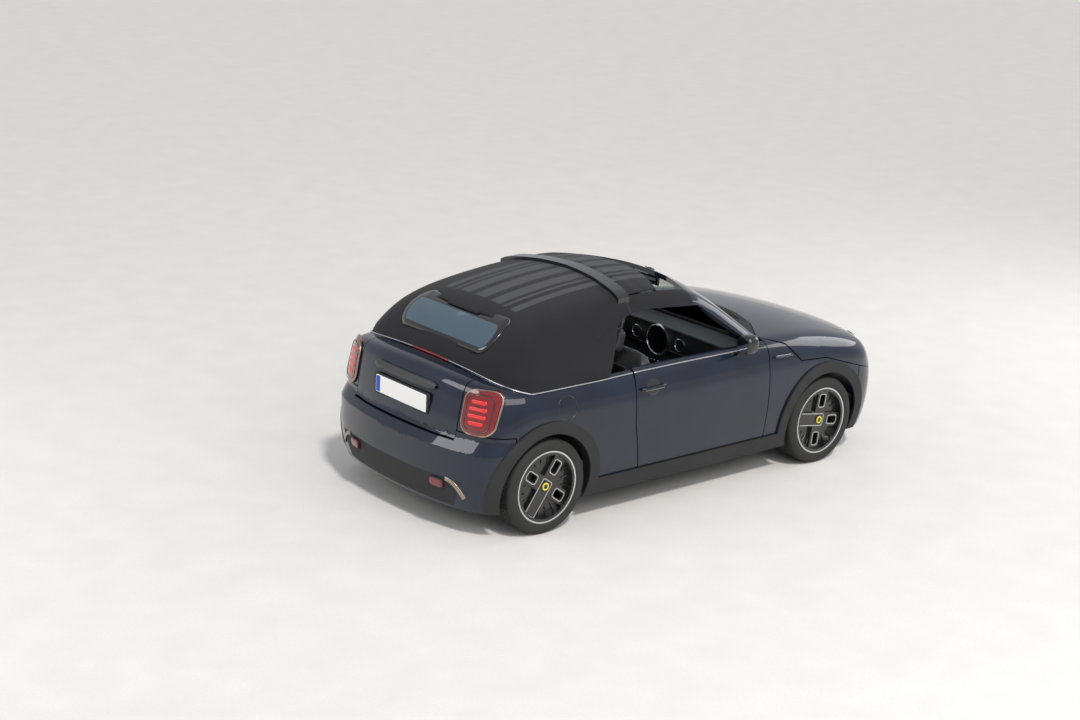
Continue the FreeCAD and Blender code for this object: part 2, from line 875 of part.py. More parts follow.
FRONT_X = "wheelbase / 2 + rear_overhang / 2 - front_overhang / 2"
REAR_X = "rear_overhang / 2 - front_overhang / 2 - wheelbase / 2"
NOSE_BACK = "wheelbase / 2 + rear_overhang / 2 + front_overhang / 2 - nose_lamp_back"
WING_END = FRONT_X + " + bumper_split_ahead - panel_gap / 2 + seat_gap"
WING_BACK = FRONT_X + " - door_front_back + panel_gap / 2 - seat_gap"


def bind_place(item, place):
    for letter, text in zip("xyz", place):
        item.setExpression("Placement.Base." + letter, formula(text))


def block(name, low, top):
    item = doc.addObject("Part::Box", name)
    for field, first, last in zip(("Length", "Width", "Height"), low, top):
        item.setExpression(field, "(" + formula(last) + ") - (" + formula(first) + ")")
    bind_place(item, low)
    return item


AXIS_TURNS = {"x": (V(0, 1, 0), 90), "y": (V(1, 0, 0), -90), "z": (V(0, 0, 1), 0)}


def rod(name, radius, start, long, axis):
    item = doc.addObject("Part::Cylinder", name)
    item.setExpression("Radius", formula(radius))
    item.setExpression("Height", formula(long))
    item.Placement.Rotation = FreeCAD.Rotation(*AXIS_TURNS[axis])
    bind_place(item, start)
    return item


def tilted(item, axis, angle):
    item.Placement.Rotation = FreeCAD.Rotation(axis, angle)
    return item


def join(name, items):
    result = doc.addObject("Part::MultiFuse", name)
    result.Shapes = items
    result.Refine = True
    result.Label = name
    return result


def carve(name, base, tools):
    result = doc.addObject("Part::Cut", name)
    result.Base = base
    result.Tool = tools[0] if len(tools) == 1 else join(name + "_tools", tools)
    result.Refine = True
    result.Label = name
    return result


def as_node(item):
    nodes.append(item)
    return item


def mirrored(name, source):
    item = doc.addObject("Part::Mirroring", name)
    item.Source = source
    item.Normal = V(0, 1, 0)
    item.Label = name
    return item


def sketch_on(body, name, role, outlines):
    sketch = body.newObject("Sketcher::SketchObject", name)
    plane = next(item for item in body.Origin.OriginFeatures if item.Role == role)
    sketch.AttachmentSupport = (plane, "")
    sketch.MapMode = "FlatFace"
    first = 0
    for points in outlines:
        numbers = [V(number(across), number(up), 0) for across, up in points]
        for i, start in enumerate(numbers):
            sketch.addGeometry(Part.LineSegment(start, numbers[(i + 1) % len(numbers)]))
        for i in range(len(points)):
            following = first + (i + 1) % len(points)
            sketch.addConstraint(Sketcher.Constraint("Coincident", first + i, 2, following, 1))
        for i, (across, up) in enumerate(points):
            for kind, text, amount in (("DistanceX", across, numbers[i].x), ("DistanceY", up, numbers[i].y)):
                index = sketch.addConstraint(Sketcher.Constraint(kind, -1, 1, first + i, 1, amount))
                sketch.setExpression("Constraints[%d]" % index, formula(text))
        first += len(points)
    return sketch


def spun(body, name, points):
    feature = body.newObject("PartDesign::Revolution", name)
    sketch = sketch_on(body, name + "_sketch", "XY_Plane", [points])
    feature.Profile = sketch
    feature.ReferenceAxis = (sketch, ["V_Axis"])
    feature.Angle = 360
    return feature


# Wheels. The section is drawn as (radius, place along the axle), outer side at minus Y
rim_section = [
    ("rim_radius", "-rim_half"),
    ("rim_radius", "rim_half"),
    ("rim_radius - rim_wall", "rim_half"),
    ("rim_radius - rim_wall", "-disc_face + disc_deep"),
    ("0", "-disc_face + disc_deep"),
    ("0", "-arm_face"),
    ("hub_radius", "-arm_face"),
    ("hub_radius", "-disc_face"),
    ("rim_radius - rim_ring_wide", "-disc_face"),
    ("rim_radius - rim_ring_wide", "-rim_half"),
]
tyre_section = [
    ("rim_radius + seat_gap", "-tyre_half"),
    ("tyre_shoulder_radius", "-tyre_half"),
    ("tyre_radius", "-tyre_shoulder_half"),
    ("tyre_radius", "tyre_half"),
    ("rim_radius + seat_gap", "tyre_half"),
]

# Four flat arms in a cross, three of them with a slot right through the disc
CROSS = "cross_wide / 2"
cross_outline = [
    (CROSS, "arm_reach"), (CROSS, CROSS), ("arm_reach", CROSS), ("arm_reach", "-" + CROSS),
    (CROSS, "-" + CROSS), (CROSS, "-arm_reach"), ("-" + CROSS, "-arm_reach"), ("-" + CROSS, "-" + CROSS),
    ("-arm_reach", "-" + CROSS), ("-arm_reach", CROSS), ("-" + CROSS, CROSS), ("-" + CROSS, "arm_reach")]
SLOT = "slot_wide / 2"
slot_outlines = [
    [("slot_start", "-" + SLOT), ("slot_end", "-" + SLOT), ("slot_end", SLOT), ("slot_start", SLOT)],
    [("-" + SLOT, "slot_start"), (SLOT, "slot_start"), (SLOT, "slot_end"), ("-" + SLOT, "slot_end")],
    [("-" + SLOT, "-slot_end"), (SLOT, "-slot_end"), (SLOT, "-slot_start"), ("-" + SLOT, "-slot_start")]]


def cross_arms(body, place_name):
    pad = body.newObject("PartDesign::Pad", "arms_" + place_name)
    sketch = sketch_on(body, "arms_sketch_" + place_name, "XZ_Plane", [cross_outline])
    sketch.setExpression("AttachmentOffset.Base.z", "Sizes.disc_face - Sizes.seat_gap")
    pad.Profile = sketch
    pad.setExpression("Length", "Sizes.arm_face - Sizes.disc_face + Sizes.seat_gap")
    pocket = body.newObject("PartDesign::Pocket", "slots_" + place_name)
    sketch = sketch_on(body, "slots_sketch_" + place_name, "XZ_Plane", slot_outlines)
    pocket.Profile = sketch
    pocket.Midplane = True
    pocket.setExpression("Length", "2 * Sizes.tyre_half")
    doc.recompute()
    corners = []
    deep = S.arm_face - S.disc_face + S.disc_deep
    for i, edge in enumerate(pocket.Shape.Edges):
        if abs(edge.BoundBox.YLength - deep) < S.seat_gap and abs(edge.Length - deep) < S.seat_gap:
            middle = edge.CenterOfMass
            reach = max(abs(middle.x), abs(middle.z))
            if S.slot_start - S.seat_gap < reach < S.slot_end + S.seat_gap:
                corners.append("Edge%d" % (i + 1))
    fillet = body.newObject("PartDesign::Fillet", "slot_corners_" + place_name)
    fillet.Base = (pocket, corners)
    fillet.setExpression("Radius", "Sizes.slot_round")
    body.Tip = fillet


# Each wheel stands as it last stopped, turned about its axle by its own angle
def wheel(place_name, x, y, turn, stopped):
    rim = doc.addObject("PartDesign::Body", "rim_" + place_name)
    spun(rim, "rim_section_" + place_name, rim_section)
    cross_arms(rim, place_name)
    tyre = doc.addObject("PartDesign::Body", "tyre_" + place_name)
    spun(tyre, "tyre_section_" + place_name, tyre_section)
    for body in (rim, tyre):
        body.Label = body.Name
        rolled = FreeCAD.Rotation(V(0, 1, 0), stopped)
        body.Placement.Rotation = FreeCAD.Rotation(V(0, 0, 1), turn).multiply(rolled)
        bind_place(body, (x, y, "tyre_radius"))
        nodes.append(body)


for end_name, axle, stopped in (("front", FRONT_X, 9), ("rear", REAR_X, -55)):
    wheel(end_name + "_right", axle, "-track / 2", 0, stopped)
    wheel(end_name + "_left", axle, "track / 2", 180, stopped)

# Front knuckles: upright, wheel spindle and the strut along the leaning steering axis
strut_lean = math.degrees(math.atan2(S.ball_y - S.strut_top_y, S.strut_top_z - S.ball_z))
strut_length = math.hypot(S.ball_y - S.strut_top_y, S.strut_top_z - S.ball_z)
spindle = rod(
    "spindle_front", "spindle_radius",
    (FRONT_X, "-track / 2 - disc_face + disc_deep + seat_gap", "tyre_radius"),
    "disc_face - disc_deep + spindle_in - seat_gap", "y")
upright = block(
    "upright_front",
    (FRONT_X + " - knuckle_half", "-track / 2 - disc_face + disc_deep + knuckle_gap", "ball_z + knuckle_lift"),
    (FRONT_X + " + knuckle_half", "-track / 2 + spindle_in", "tyre_radius + knuckle_above"))
strut = rod(
    "strut_front", "strut_radius",
    (FRONT_X, "-ball_y + strut_start_in", "ball_z + strut_start_up"), "strut_long", "z")
strut.Placement.Rotation = FreeCAD.Rotation(V(1, 0, 0), -strut_lean)
knuckle = as_node(join("knuckle_right", [spindle, upright, strut]))
as_node(mirrored("knuckle_left", knuckle))

# Front subframe with its lower arms, and the rear beam axle
arm = block(
    "lower_arm_right",
    (FRONT_X + " - arm_half", "-ball_y - arm_half", "ball_z - arm_thick - seat_gap"),
    (FRONT_X + " + arm_half", "-subframe_half", "ball_z - seat_gap"))
arm_left = block(
    "lower_arm_left",
    (FRONT_X + " - arm_half", "subframe_half", "ball_z - arm_thick - seat_gap"),
    (FRONT_X + " + arm_half", "ball_y + arm_half", "ball_z - seat_gap"))
cross = block(
    "subframe_cross",
    (FRONT_X + " - subframe_deep", "-subframe_half", "ball_z - arm_thick - seat_gap"),
    (FRONT_X + " + subframe_deep", "subframe_half", "ball_z + subframe_tall"))
legs = [
    block("subframe_leg_right",
          ("firewall_x + pan_thick + seat_gap", "-subframe_half", "ball_z"),
          (FRONT_X + " - subframe_deep", "-subframe_half + subframe_leg", "ball_z + subframe_tall")),
    block("subframe_leg_left",
          ("firewall_x + pan_thick + seat_gap", "subframe_half - subframe_leg", "ball_z"),
          (FRONT_X + " - subframe_deep", "subframe_half", "ball_z + subframe_tall"))]
as_node(join("front_axle", [arm, arm_left, cross] + legs))
beam = block(
    "rear_beam",
    (REAR_X + " - beam_half", "-track / 2 + spindle_in", "tyre_radius - beam_half"),
    (REAR_X + " + beam_half", "track / 2 - spindle_in", "tyre_radius + beam_half"))
spindle_rear = [
    rod("spindle_rear_right", "spindle_radius",
        (REAR_X, "-track / 2 - disc_face + disc_deep + seat_gap", "tyre_radius"),
        "disc_face - disc_deep + spindle_in - seat_gap", "y"),
    rod("spindle_rear_left", "spindle_radius",
        (REAR_X, "track / 2 - spindle_in", "tyre_radius"),
        "disc_face - disc_deep + spindle_in - seat_gap", "y")]
trailing = [
    block("trailing_right", (REAR_X, "-trailing_y - arm_half", "tyre_radius - beam_half"),
          ("boot_step_x - seat_gap", "-trailing_y + arm_half", "tyre_radius + beam_half")),
    block("trailing_left", (REAR_X, "trailing_y - arm_half", "tyre_radius - beam_half"),
          ("boot_step_x - seat_gap", "trailing_y + arm_half", "tyre_radius + beam_half"))]
as_node(join("rear_axle", [beam] + spindle_rear + trailing))

# Floor, tunnel, steps, bulkheads and the rear wall
floor_parts = [
    block("front_floor", ("pan_step_x", "-pan_half", "pan_z"),
          ("firewall_x", "pan_half", "pan_z + pan_thick")),
    block("tunnel_out", ("pan_step_x", "-tunnel_half", "pan_z"), ("firewall_x", "tunnel_half", "tunnel_z")),
    block("rear_floor", ("boot_step_x", "-bench_half", "rear_pan_z"),
          ("pan_step_x", "bench_half", "rear_pan_z + pan_thick")),
    block("rear_step", ("pan_step_x", "-bench_half", "pan_z"),
          ("pan_step_x + pan_thick", "bench_half", "rear_pan_z + pan_thick")),
    block("boot_step", ("boot_step_x", "-bench_half", "rear_pan_z"),
          ("boot_step_x + pan_thick", "bench_half", "boot_floor_z + pan_thick")),
    block("boot_floor", ("tail_wall_x", "-bench_half", "boot_floor_z"),
          ("boot_step_x", "bench_half", "boot_floor_z + pan_thick")),
    block("tail_wall", ("tail_wall_x", "-bench_half", "tail_wall_low_z"),
          ("tail_wall_x + pan_thick", "bench_half", "tail_wall_top_z")),
    block("back_bulkhead", ("bulkhead_x", "-bench_half", "boot_floor_z"),
          ("bulkhead_x + pan_thick", "bench_half", "bulkhead_top_z")),
    block("firewall", ("firewall_x", "-bay_half", "pan_z"),
          ("firewall_x + pan_thick", "bay_half", "firewall_top_z"))]
tunnel_room = block(
    "tunnel_room",
    ("pan_step_x - pan_thick", "-tunnel_half + pan_thick", "pan_z - pan_thick"),
    ("firewall_x", "tunnel_half - pan_thick", "tunnel_z - pan_thick"))
step_room = block(
    "step_room",
    ("pan_step_x", "-tunnel_half + pan_thick", "pan_z - pan_thick"),
    ("pan_step_x + pan_thick", "tunnel_half - pan_thick", "rear_pan_z"))
as_node(carve("floor_pan", join("floor_pan_solid", floor_parts), [tunnel_room, step_room]))

# Heavy masses, each a plain block at its place
as_node(join("battery_pack", [
    block("pack_tunnel", ("pan_step_x - pan_thick", "-tunnel_half + pan_thick + pack_gap", "pack_low_z"),
          ("firewall_x - pack_gap", "tunnel_half - pan_thick - pack_gap", "tunnel_z - pan_thick - seat_gap")),
    block("pack_rear", ("boot_step_x + pack_gap", "-pack_half", "pack_low_z"),
          ("pan_step_x - pack_gap", "pack_half", "rear_pan_z - seat_gap"))]))
as_node(block(
    "drive_unit",
    (FRONT_X + " - drive_half", "-drive_half_width", "ball_z + subframe_tall + seat_gap"),
    (FRONT_X + " + drive_half", "drive_half_width", "drive_top_z"))).Label = "drive_unit"
panel = block(
    "radiator_wall",
    (NOSE_BACK + " - seat_gap - radiator_thick", "-radiator_half", "radiator_low_z"),
    (NOSE_BACK + " - seat_gap", "radiator_half", "radiator_top_z"))
rails = [
    block("rail_right", (WING_END, "-rail_outer", "rail_low_z"),
          (NOSE_BACK + " - seat_gap - radiator_thick", "-rail_inner", "rail_high_z")),
    block("rail_left", (WING_END, "rail_inner", "rail_low_z"),
          (NOSE_BACK + " - seat_gap - radiator_thick", "rail_outer", "rail_high_z"))]
as_node(join("radiator_panel", [panel] + rails))

# Cabin: dashboard, console, seats and steering
dash = block(
    "dashboard_block", ("dash_rear_x", "-dash_half", "dash_low_z"),
    (WING_BACK, "dash_half", "dash_top_z"))
as_node(block(
    "centre_console", ("console_rear_x", "-console_half", "tunnel_z + seat_gap"),
    ("dash_rear_x - seat_gap", "console_half", "console_top_z"))).Label = "centre_console"


def seat(name, y):
    cushion = block(name + "_cushion",
                    ("seat_back_x", y + " - seat_half", "seat_low_z"),
                    ("seat_front_x", y + " + seat_half", "seat_top_z"))
    riser = block(name + "_riser",
                  ("seat_back_x", y + " - riser_half", "pan_z + pan_thick + seat_gap"),
                  ("seat_front_x - riser_in", y + " + riser_half", "seat_low_z"))
    back = block(name + "_back",
                 ("seat_back_x", y + " - seat_half", "seat_low_z"),
                 ("seat_back_x + back_thick", y + " + seat_half", "back_top_z"))
    rest = block(name + "_headrest",
                 ("seat_back_x + back_thick / 4", y + " - headrest_half", "back_top_z - seat_gap"),
                 ("seat_back_x + back_thick", y + " + headrest_half", "headrest_top_z"))
    back_group = join(name + "_upper", [back, rest])
    pivot = V(S.seat_back_x, 0, S.seat_low_z)
    turn = FreeCAD.Rotation(V(0, 1, 0), -SEAT_BACK_ANGLE)
    back_group.Placement = FreeCAD.Placement(pivot - turn.multVec(pivot), turn)
    return join(name, [cushion, riser, back_group])


SEAT_BACK_ANGLE = 17
as_node(seat("front_seat_right", "-seat_y"))
as_node(seat("front_seat_left", "seat_y"))
as_node(join("rear_bench", [
    block("bench_cushion", ("bench_back_x", "-bench_half + seat_gap", "rear_pan_z + pan_thick + seat_gap"),
          ("bench_front_x", "bench_half - seat_gap", "bench_top_z")),
    block("bench_back", ("bulkhead_x + pan_thick + seat_gap", "-bench_half + seat_gap",
                         "boot_floor_z + pan_thick + seat_gap"),
          ("bench_back_x", "bench_half - seat_gap", "bench_high_z"))]))

doc.recompute()
STEERING_ANGLE = 24
wheel_axis = FreeCAD.Rotation(V(0, 1, 0), STEERING_ANGLE - 90)
steering_place = V(S.steering_x, S.seat_y, S.steering_z)
ring = carve("steering_ring", rod(
    "steering_rim_outside", "steering_radius + steering_grip", ("0", "0", "-steering_grip"),
    "steering_grip + steering_grip", "z"), [rod(
        "steering_rim_inside", "steering_radius - steering_grip", ("0", "0", "-steering_grip"),
        "steering_grip + steering_grip", "z")])
boss = rod(
    "steering_boss", "steering_boss_radius", ("0", "0", "-steering_grip"), "steering_grip + steering_grip", "z")
spokes = [
    block("steering_spoke_across", ("-steering_spoke / 2", "-steering_radius", "-steering_grip / 2"),
          ("steering_spoke / 2", "steering_radius", "steering_grip / 2")),
    block("steering_spoke_down", ("-steering_radius", "-steering_spoke / 2", "-steering_grip / 2"),
          ("0", "steering_spoke / 2", "steering_grip / 2"))]
steering = join("steering_wheel", [ring, boss] + spokes)
steering.Placement = FreeCAD.Placement(steering_place, wheel_axis)
as_node(steering)
column = rod("steering_column", "column_radius", ("0", "0", "0"), "column_long", "z")
column.setExpression("Placement.Base.x", None)
column.setExpression("Placement.Base.y", None)
column.setExpression("Placement.Base.z", None)
column_start = steering_place + wheel_axis.multVec(V(0, 0, -S.steering_grip - S.seat_gap - S.column_long))
column.Placement = FreeCAD.Placement(column_start, wheel_axis)
as_node(join("dashboard", [dash, column]))

# Door mirrors on short arms
shell = box(
    (S.mirror_rear_x, -S.mirror_outer_y, S.mirror_low_z),
    (S.mirror_front_x, -S.mirror_inner_y, S.mirror_top_z))
long_edges = [edge for edge in shell.Edges if edge.BoundBox.XLength > S.mirror_round]
shell = shell.makeFillet(S.mirror_round, long_edges)
mirror_arm = box(
    (S.mirror_front_x - S.mirror_arm_wide, -S.mirror_inner_y - S.mirror_round, S.belt_z - S.mirror_foot),
    (S.mirror_front_x - S.mirror_round, -S.glass_side_y, S.belt_z + S.belt_strip))
mirror = shell.fuse(mirror_arm).cut(near).cut(strip)
keep("door_mirror_right", main_solid(mirror))
keep("door_mirror_left", left_of(main_solid(mirror)))

doc.recompute()
faults = [item.Label for item in doc.Objects if "Invalid" in item.State or "Error" in item.State]
for item in nodes:
    if item.Shape.isNull() or not item.Shape.isValid():
        faults.append(item.Label)
if faults:
    raise RuntimeError("faulty: " + ", ".join(sorted(set(faults))))

os.makedirs("parts", exist_ok=True)
for item in nodes:
    item.Shape.exportStep(os.path.join("parts", item.Label + ".step"))
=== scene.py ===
import math
from types import SimpleNamespace

import bmesh
import bpy
import numpy as np
from mathutils import Matrix, Vector


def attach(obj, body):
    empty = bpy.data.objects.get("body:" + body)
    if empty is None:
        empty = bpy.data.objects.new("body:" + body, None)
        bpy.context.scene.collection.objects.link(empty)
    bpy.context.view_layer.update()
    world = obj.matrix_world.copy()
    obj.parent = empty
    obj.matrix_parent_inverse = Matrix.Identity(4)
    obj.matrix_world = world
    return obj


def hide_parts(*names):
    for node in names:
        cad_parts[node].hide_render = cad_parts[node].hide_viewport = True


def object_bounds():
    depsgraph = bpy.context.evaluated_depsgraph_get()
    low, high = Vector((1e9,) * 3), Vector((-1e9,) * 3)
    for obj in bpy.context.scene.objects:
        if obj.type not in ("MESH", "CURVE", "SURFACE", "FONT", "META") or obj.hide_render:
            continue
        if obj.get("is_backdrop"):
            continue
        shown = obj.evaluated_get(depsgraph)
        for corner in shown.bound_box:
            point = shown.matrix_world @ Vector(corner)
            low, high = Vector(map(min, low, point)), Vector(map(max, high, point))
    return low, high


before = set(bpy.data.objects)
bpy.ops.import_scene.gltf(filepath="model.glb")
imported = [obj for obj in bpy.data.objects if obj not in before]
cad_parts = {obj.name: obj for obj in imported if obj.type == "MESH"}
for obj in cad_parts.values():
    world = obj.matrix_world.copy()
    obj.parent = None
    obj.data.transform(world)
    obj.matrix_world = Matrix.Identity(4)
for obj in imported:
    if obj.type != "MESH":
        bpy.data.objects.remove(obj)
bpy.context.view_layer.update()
MM = 0.001

# Camera, solved from the photograph, whose frame is 1080 by 720 pixels
PHOTO_WIDTH = 1080
FOCAL_PIXELS = 2079.7
CAMERA_PLACE = (-9.362, -9.9088, 4.7739)
CAMERA_AZIMUTH, CAMERA_ELEVATION, CAMERA_ROLL = map(math.radians, (-41.0465, 16.7638, 3.1095))


def make_camera():
    data = bpy.data.cameras.new("camera")
    data.sensor_width = 36
    data.lens = FOCAL_PIXELS / PHOTO_WIDTH * data.sensor_width
    data.clip_end = 200
    camera = bpy.data.objects.new("camera", data)
    level = math.cos(CAMERA_ELEVATION)
    turned = Vector((math.sin(CAMERA_AZIMUTH), -math.cos(CAMERA_AZIMUTH), 0)) * level
    back = turned + Vector((0, 0, math.sin(CAMERA_ELEVATION)))
    right = (-back).cross(Vector((0, 0, 1))).normalized()
    up = back.cross(right)
    turn, lean = math.cos(CAMERA_ROLL), math.sin(CAMERA_ROLL)
    columns = (right * turn + up * lean, up * turn - right * lean, back)
    rotation = Matrix([[column[i] for column in columns] for i in range(3)])
    camera.matrix_world = Matrix.Translation(CAMERA_PLACE) @ rotation.to_4x4()
    bpy.context.scene.collection.objects.link(camera)
    bpy.context.scene.camera = camera


# Materials: every one is a Principled shader with its own grain, colour drift and bump
DRIFT_SCALE, RELIEF_DEPTH, COAT_ROUGH, ROUGH_DRIFT = 3.5, 0.0006, 0.03, 0.15


# Sets a node's sockets, each to a value or to what another node puts out
def give(tree, node, values):
    for socket, value in values.items():
        if isinstance(value, bpy.types.NodeSocket):
            tree.links.new(value, node.inputs[socket])
        else:
            node.inputs[socket].default_value = value


def add_node(tree, kind, values, operation=None):
    node = tree.nodes.new("ShaderNode" + kind)
    if operation:
        node.operation = operation
    give(tree, node, values)
    return node


def material(name, colour, rough=0.5, metal=0.0, drift=0.25, grain=900.0, bump=0.15, coat=0.0,
             pattern="noise", **extra):
    made = bpy.data.materials.new(name)
    made.use_nodes = True
    tree = made.node_tree
    place = add_node(tree, "TexCoord", {}).outputs["Object"]
    if pattern == "voronoi":
        height = add_node(tree, "TexVoronoi", {"Scale": grain, "Vector": place}).outputs["Distance"]
    else:
        height = add_node(tree, "TexNoise", {"Detail": 4, "Scale": grain, "Vector": place}).outputs["Fac"]
    wide = add_node(tree, "TexNoise", {"Scale": DRIFT_SCALE, "Detail": 3, "Vector": place}).outputs["Fac"]
    both = add_node(tree, "Math", {0: height, 1: wide}, "MULTIPLY").outputs[0]
    ramp = add_node(tree, "ValToRGB", {"Fac": both})
    for stop, position, change in zip(ramp.color_ramp.elements, (0.1, 0.45), (1 - drift, 1 + drift)):
        stop.position = position
        stop.color = [min(1, channel * change) for channel in colour] + [1]
    dull = add_node(tree, "MapRange", {
        "To Min": rough * (1 - ROUGH_DRIFT), "To Max": min(1.0, rough * (1 + ROUGH_DRIFT)), "Value": wide})
    values = {"Base Color": ramp.outputs["Color"], "Roughness": dull.outputs[0], "Metallic": metal,
              "Coat Weight": coat, "Coat Roughness": COAT_ROUGH}
    if bump:
        relief = {"Strength": bump, "Distance": RELIEF_DEPTH, "Height": height}
        values["Normal"] = add_node(tree, "Bump", relief).outputs["Normal"]
    values.update({socket.replace("_", " "): value for socket, value in extra.items()})
    give(tree, tree.nodes["Principled BSDF"], values)
    return made


PAINT = material(
    "body_paint", (0.0025, 0.0065, 0.021), 0.42, 0.1, 0.6, 2600, 0, 1.0, "voronoi", Specular_IOR_Level=0.15)
MATT = material("matt_plastic", (0.022, 0.022, 0.024), 0.6, grain=1500, bump=0.5, Specular_IOR_Level=0.3)
GLOSS = material("gloss_black", (0.008, 0.008, 0.009), 0.16, coat=0.6, bump=0)
BRIGHT = material("bright_trim", (0.62, 0.63, 0.65), 0.24, 1.0, 0.08, 500, 0.05)
BRONZE = material("bronze_trim", (0.36, 0.29, 0.23), 0.32, 1.0, 0.1, 600, 0.08)
SILVER = material("turned_silver", (0.66, 0.67, 0.68), 0.28, 1.0, 0.08, 900, 0.1)
RUBBER = material("rubber", (0.016, 0.016, 0.016), 0.78, grain=700, bump=0.4)
WHEEL = material("wheel_black", (0.009, 0.009, 0.01), 0.28, 0.2, coat=0.7, bump=0)
YELLOW = material("yellow_ring", (0.75, 0.62, 0.02), 0.4, bump=0.05)
CHASSIS = material("chassis_metal", (0.05, 0.05, 0.053), 0.55, 0.4, grain=400, bump=0.3)
CAST = material("cast_metal", (0.16, 0.16, 0.16), 0.62, 0.7, grain=500, bump=0.6)
BLOCK = material("mass_block", (0.28, 0.29, 0.3), 0.5, 0.8, grain=300, bump=0.2)
LEATHER = material("leather", (0.026, 0.026, 0.028), 0.46, grain=420, bump=0.55, pattern="voronoi")
STITCH = material("stitching", (0.16, 0.16, 0.17), 0.7, grain=2000, bump=0.3)
DASH = material("dash_plastic", (0.02, 0.02, 0.022), 0.55, grain=1300, bump=0.5)
CARPET = material("carpet", (0.014, 0.014, 0.015), 0.95, grain=2600, bump=0.9)
DISPLAY = material("dark_display", (0.004, 0.005, 0.007), 0.08, bump=0, coat=1.0)
WHITE = material("plate_white", (0.78, 0.78, 0.76), 0.4, drift=0.03, bump=0.05)
BLUE = material("plate_blue", (0.01, 0.06, 0.42), 0.4, drift=0.1, bump=0.05)
RED_LENS = material("red_lens", (0.16, 0.002, 0.005), 0.12, drift=0.2, bump=0, coat=1.0)
RED_GLOW = material("red_bar", (0.62, 0.012, 0.014), 0.3, drift=0.1, bump=0, coat=0.5)
# Lamp black, also used as painted shade: the flat patch in each door handle hollow and the ring round the
# filler flap
LAMP_BLACK_AND_SHADE = material("lamp_black_and_shade", (0.012, 0.01, 0.011), 0.2, bump=0, coat=0.8)
CLEAR = material("clear_lens", (0.9, 0.92, 0.94), 0.03, drift=0.02, bump=0, Transmission_Weight=1.0, IOR=1.45)
GLASS = material("clear_glass", (0.82, 0.9, 0.88), 0.01, drift=0.02, bump=0, Transmission_Weight=1.0,
                 IOR=1.45)
REAR_GLASS = material("tinted_glass", (0.1, 0.2, 0.28), 0.02, drift=0.1, bump=0, coat=1.0,
                      Transmission_Weight=0.7)
MIRROR = material("mirror_glass", (0.8, 0.82, 0.85), 0.02, 1.0, 0.02, bump=0)
SATIN = material("satin_grey", (0.05, 0.051, 0.055), 0.38, 0.3, grain=900, bump=0.1)
LINER = material("top_lining", (0.02, 0.02, 0.022), 0.9, grain=1800, bump=0.6)


# The top's cloth: a fine two-way weave, with lighter lengthwise bands woven in
BAND_PLACES = ((0.0, 0.05), (0.155, 0.045), (0.245, 0.012), (0.33, 0.028))
BAND_FRONT, BAND_BACK, BAND_COLOUR = -0.12, -1.27, (0.06, 0.061, 0.068, 1)
THREAD, CLOTH_RELIEF, CLOTH_SHEEN = 0.0028, 0.5, 0.08


def top_cloth():
    made = material("top_cloth", (0.0125, 0.0125, 0.0145), 0.9, drift=0.3, grain=1500, bump=0,
                    Specular_IOR_Level=0.2)
    tree = made.node_tree
    shader = tree.nodes["Principled BSDF"]
    place = add_node(tree, "TexCoord", {}).outputs["Object"]
    split = add_node(tree, "SeparateXYZ", {0: place}).outputs

    def maths(kind, *values):
        return add_node(tree, "Math", dict(enumerate(values)), kind).outputs[0]

    across = maths("ABSOLUTE", split["Y"])
    mask = None
    for middle, half in BAND_PLACES:
        inside = maths("LESS_THAN", maths("ABSOLUTE", maths("SUBTRACT", across, middle)), half)
        mask = inside if mask is None else maths("MAXIMUM", mask, inside)
    mask = maths("MULTIPLY", mask, maths("LESS_THAN", split["X"], BAND_FRONT))
    mask = maths("MULTIPLY", mask, maths("GREATER_THAN", split["X"], BAND_BACK))
    waves = [maths("SINE", maths("MULTIPLY", split[axis], 2 * math.pi / THREAD)) for axis in ("X", "Y")]
    twill = maths("MULTIPLY", maths("ADD", maths("MULTIPLY", *waves), 1.0), 0.5)
    mix = tree.nodes.new("ShaderNodeMix")
    mix.data_type = "RGBA"
    share = maths("MULTIPLY", mask, maths("ADD", maths("MULTIPLY", twill, 0.5), 0.5))
    base = shader.inputs["Base Color"].links[0].from_socket
    give(tree, mix, {"Factor": share, "A": base, "B": BAND_COLOUR})
    relief = add_node(tree, "Bump", {"Strength": CLOTH_RELIEF, "Distance": RELIEF_DEPTH, "Height": twill})
    give(tree, shader, {"Sheen Weight": CLOTH_SHEEN, "Base Color": mix.outputs["Result"],
                        "Normal": relief.outputs["Normal"]})
    return made


CLOTH = top_cloth()

# Sizes of the body and the roof in millimetres, the same as in the part
S = SimpleNamespace(
    half_width=857, plan_bow=6, plan_bow_span=1000, widest_x=-100, waist_z=600, tuck_in=48, tuck_height=400,
    tumble_in=62, tumble_height=360, floor_z=-80, deck_z=1000, deck_crown=40, deck_half=700,
    bonnet_start_x=550, bonnet_fall=230, bonnet_run=1330, nose_x=1934.5, nose_bow=230, nose_half=800,
    nose_lean=62, nose_lean_z=480, nose_lean_height=260, chin_lean=40, chin_z=420, chin_height=230,
    tail_x=1934.5, tail_bow=120, tail_half=750, tail_step=45, tail_step_z=560, tail_step_height=80,
    tail_lean=60, tail_lean_height=400, blend_top_front=170, blend_top_cabin=110, blend_top_rear=100,
    blend_top_run=550, blend_top_rear_x=-1590, blend_top_rear_run=60, blend_front=260, blend_rear=280,
    blend_bottom=200, roof_z=1415, roof_peak_x=-350, roof_fall_front=60, roof_run_front=520,
    roof_fall_rear=110, roof_run_rear=1000, roof_crown=50, roof_half=550, screen_base_x=750,
    screen_base_z=990, screen_rise=370, screen_run=580, screen_bow=220, screen_half=700, back_base_x=-1650,
    back_base_z=980, back_rise=320, back_run=198, back_bow=40, back_half=700, glass_side_y=790,
    glass_side_z=950, glass_side_in=168, glass_side_rise=350, blend_screen=120, blend_back=220,
    blend_back_side=260, blend_post=60)
FRONT_AXLE, REAR_AXLE, WHEEL_Y, WHEEL_Z = 1146.5, -1348.5, 742.5, 308.0


def over(value):
    return np.maximum(0, value)


